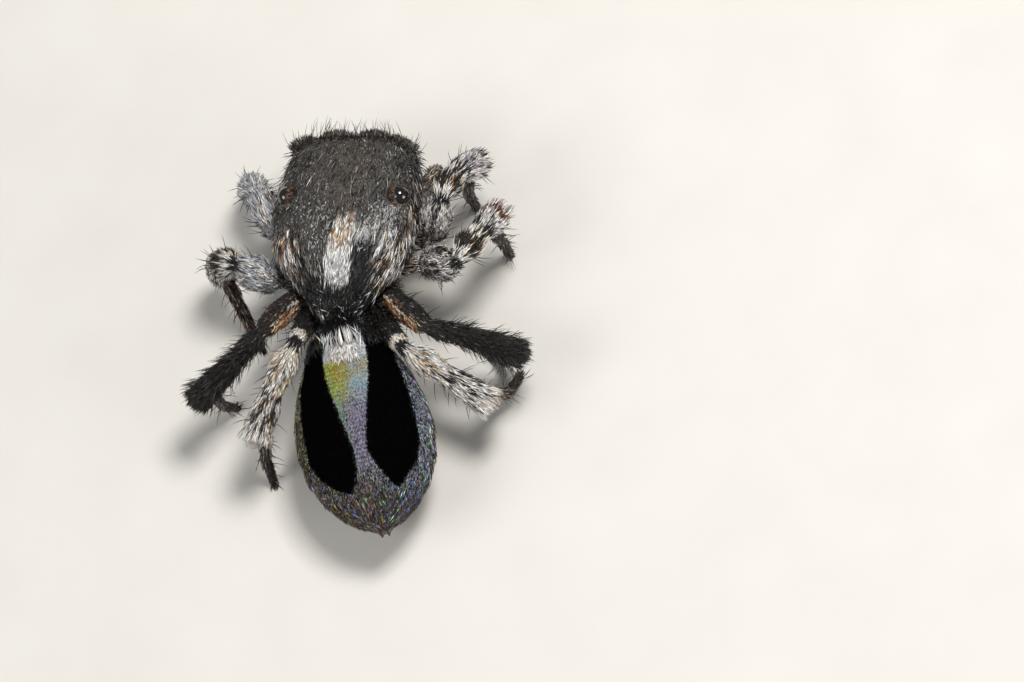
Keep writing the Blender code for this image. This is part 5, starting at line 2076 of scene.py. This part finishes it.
@dataclass
class LegCoat:
    """Hairs of the legs and feelers.

    The counts are of a part's close under layer, its longer top layer and its bristles.
    """

    animal: Animal
    placing: Placing
    counts: tuple = ((630, 455, 0), (2340, 1690, 26), (2970, 2145, 26), (810, 585, 26))
    under: Growth = Growth(0, (0.045, 0.08), 0.013, 0.004, 20, 8, 10, 1)
    upper: Growth = Growth(0, (0.08, 0.15), 0.0125, 0.005, 24, 9, 8)
    black_length: tuple = (0.05, 0.10)
    root_hair: Growth = Growth(700, (0.15, 0.28), 0.012, 0.006, 52, 20, 40)
    cuff: Growth = Growth(300, (0.12, 0.18), 0.014, 0.007, 30, 10, 7, 3)
    brush_hair: Growth = Growth(2600, (0.10, 0.17), 0.012, 0.006, 40, 14, 12)
    brush_bristle: Growth = Growth(260, (0.17, 0.25), 0.010, 0.007, 52, 26, 16, 4)
    bristle: Growth = Growth(0, (0.14, 0.26), 0.008, 0.007, 62, 40, 20, 4, tip=0.8)
    palp_hair: Growth = Growth(1500, (0.06, 0.12), 0.014, 0.005, 26, 8, 14)

    def brush(self, coat: Coat, leg: Leg, seed: int, room: tuple) -> None:
        """Long black bristles of a third shin, which make its end a blunt brush.

        Args:
            coat: The piece that the layers join.
            leg: The leg.
            seed: Seed of the first layer.
            room: Lowest and highest corner of its room on the coat's map.
        """

        def black(u: Array, v: Array, points: Array, normals: Array, draw: Draw) -> Array:
            """Black with a few grey bristles."""
            one = np.ones(len(u))
            return BRUSH.pick({"black": one, "charcoal": one, "grey": 0.12 * one}, draw)

        def fuller(u: Array, v: Array) -> Array:
            """More hairs towards the end."""
            return 0.25 + smooth_step(0.1, 0.8, u)

        def middle(u: Array, v: Array) -> Array:
            """All but the knee and the very end."""
            return smooth_step(0.1, 0.4, u) * smooth_step(0.99, 0.9, u)

        grow(coat, leg.shin, black, self.brush_hair, seed, fuller, room)
        grow(coat, leg.shin, black, self.brush_bristle, seed + 1, middle, room)

    @staticmethod
    def end(u: Array, v: Array) -> Array:
        """The end of a shin."""
        return smooth_step(0.86, 0.97, u)

    def part(self, coat: Coat, leg: Leg, index: int, seed: int) -> None:
        """All layers of one part of a leg.

        Args:
            coat: The piece that the layers join.
            leg: The leg.
            index: Number of the part, from the body outward.
            seed: Seed of the first layer.
        """
        part, tube = PARTS[index], leg.tubes[index]
        room = ((0.25 * index, 0.0), (0.25 * (index + 1), 1.0))
        marking = mark_leg(leg, part)
        close, long, _ = self.counts[index]
        upper = replace(self.upper, count=long)
        if leg.pair == 3 and part != "coxa":
            upper = replace(upper, length=self.black_length)
        if leg.pair > 2 and part == "coxa":
            grow(coat, tube, marking, self.root_hair, seed + 3, None, room)
        grow(coat, tube, marking, replace(self.under, count=close), seed, None, room)
        grow(coat, tube, marking, upper, seed + 2, None, room)
        if part == "shin" and leg.pair == 3:
            self.brush(coat, leg, seed + 1, room)
        elif part == "shin":
            grow(coat, tube, marking, self.cuff, seed + 1, self.end, room)

    def build(self) -> None:
        """Grow one coat and one piece of bristles for each leg, and one coat for the feelers."""
        finish, stiff_finish = SCALES.build(), BRISTLES.build()
        for number, leg in enumerate(self.animal.legs):
            slot = "black_coat" if leg.pair == 3 else "pale_coat"
            coat = Coat(f"coat_leg_{leg.name}", slot, finish)
            stiff = Coat(f"bristles_leg_{leg.name}", "black_coat", stiff_finish)
            for index, tube in enumerate(leg.tubes):
                self.part(coat, leg, index, 100 + 20 * number + 4 * index)
                if self.counts[index][2]:
                    room = ((0.33 * (index - 1), 0.0), (0.33 * index, 1.0))
                    bristle = replace(self.bristle, count=self.counts[index][2])
                    grow(stiff, tube, plain("#17120f"), bristle, 400 + 4 * number + index - 1,
                         None, room)
            coat.build(self.placing)
            stiff.build(self.placing)
        coat = Coat("coat_palps", "pale_coat", finish)
        for index, palp in enumerate(self.animal.palps):
            grow(coat, palp, mark_palp, self.palp_hair, 500 + index, None,
                 ((0.5 * index, 0.0), (0.5 * (index + 1), 1.0)))
        coat.build(self.placing)


@dataclass(frozen=True)
class Camera:
    """Telephoto view at the photograph's angle: it looks down on the back from behind.

    The axes are (R, F, U). The target is the point at the middle of the picture.
    """

    to_camera: tuple = (0.24192, -0.33186, 0.91178)
    right: tuple = (0.96998, 0.10679, -0.21849)
    up: tuple = (-0.02486, 0.93726, 0.34773)
    known: tuple = (0.0, 1.2, 0.6)
    known_pixel: tuple = (340.5, 194.5)
    pixels_per_mm: float = 88.0
    distance: float = 150.0
    sensor: float = 36.0

    def build(self, placing: Placing) -> bpy.types.Object:
        """Make the camera and set it as the scene's.

        Args:
            placing: Where the frame's axes are.

        Returns:
            The object.
        """
        data = bpy.data.cameras.new("camera")
        data.sensor_width = self.sensor
        data.lens = self.sensor * self.distance / (PICTURE[0] / self.pixels_per_mm)
        data.clip_start, data.clip_end = 0.01, 2.0
        known = moved(forebody_frame(), np.array(self.known))
        right, up, back = (np.array(way) for way in (self.right, self.up, self.to_camera))
        across = (0.5 * PICTURE[0] - self.known_pixel[0]) / self.pixels_per_mm
        down = (0.5 * PICTURE[1] - self.known_pixel[1]) / self.pixels_per_mm
        target = known + across * right - down * up
        flip = np.array((-1.0, -1.0, 1.0))
        made = placed("camera", data)
        spot = placing.to_row(target + back * self.distance)
        turn = Matrix(np.stack((right * flip, up * flip, back * flip), axis=1).tolist()).to_4x4()
        made.matrix_world = Matrix.Translation(Vector(spot)) @ turn
        bpy.context.scene.camera = made
        return made


@dataclass(frozen=True)
class Lamp:
    """A square area light, placed by the picture: to its right, its top and the camera, in
    millimetres, with its side in millimetres and its power in watts."""

    name: str
    across: float
    up: float
    back: float
    size: float
    power: float


@dataclass
class Studio:
    """Pale floor, soft lights round the camera's view and a pale, even room."""

    camera: Camera
    floor_half: float = 400.0
    room_colour: str = "#dfe3ea"
    room_strength: float = 0.28
    lamps: tuple[Lamp, ...] = (
        Lamp("key", 6.0, 26.0, 40.0, 14.0, 0.021),
        Lamp("fill", -34.0, -4.0, 30.0, 24.0, 0.007),
        Lamp("side", 30.0, -8.0, 24.0, 18.0, 0.005),
    )

    def floor(self) -> None:
        """A pale matt floor with a faint grain."""
        size = self.floor_half * MM
        corners = [(-size, -size, 0.0), (size, -size, 0.0), (size, size, 0.0), (-size, size, 0.0)]
        made = mesh_object("floor", np.array(corners), [(0, 1, 2, 3)], smooth=False)
        make = Maker("pale_floor")
        made.data.materials.append(make.close(make.node(
            "ShaderNodeBsdfPrincipled", Base_Color=make.mottle(900.0, 3.0, ("#d2cdc4", "#dbd7cf")),
            Roughness=0.8,
        )))

    def light(self, lamp: Lamp) -> None:
        """Add one area light that looks at the animal.

        Args:
            lamp: The light.
        """
        data = bpy.data.lights.new(lamp.name, "AREA")
        data.shape, data.size, data.energy = "SQUARE", lamp.size * MM, lamp.power
        made = placed(lamp.name, data)
        flip = np.array((-1.0, -1.0, 1.0))
        ways = (self.camera.right, self.camera.up, self.camera.to_camera)
        spot = sum(far * np.array(way) * flip
                   for far, way in zip((lamp.across, lamp.up, lamp.back), ways)) * MM
        spot[2] = max(spot[2], 0.5 * lamp.size * MM)
        made.location = Vector(spot)
        made.rotation_mode = "QUATERNION"
        made.rotation_quaternion = Vector(spot).to_track_quat("Z", "Y")

    def build(self) -> None:
        """Set the floor, the lights and the pale surroundings."""
        self.floor()
        for lamp in self.lamps:
            self.light(lamp)
        world = bpy.data.worlds.new("pale_room")
        world.use_nodes = True
        back = world.node_tree.nodes["Background"]
        back.inputs["Color"].default_value = (*linear(self.room_colour), 1.0)
        back.inputs["Strength"].default_value = self.room_strength
        bpy.context.scene.world = world
        settings = bpy.context.scene.view_settings
        settings.view_transform, settings.look = "Standard", "None"


def main() -> None:
    """Build and dress the whole scene."""
    logging.basicConfig(level=logging.INFO, format="%(name)s %(message)s")
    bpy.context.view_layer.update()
    placing = Placing()
    animal = Animal()
    camera = Camera()
    camera.build(placing)
    Studio(camera).build()
    Skin(animal, placing).build(CUTICLE.build(), VELVET.build())
    Eyes(placing).build(lens_finish())
    Claws(animal, placing).build(CUTICLE.build())
    HeadCoat(animal, placing).build()
    TailCoat(animal, placing).build()
    LegCoat(animal, placing).build()


if __name__ == "__main__":
    main()
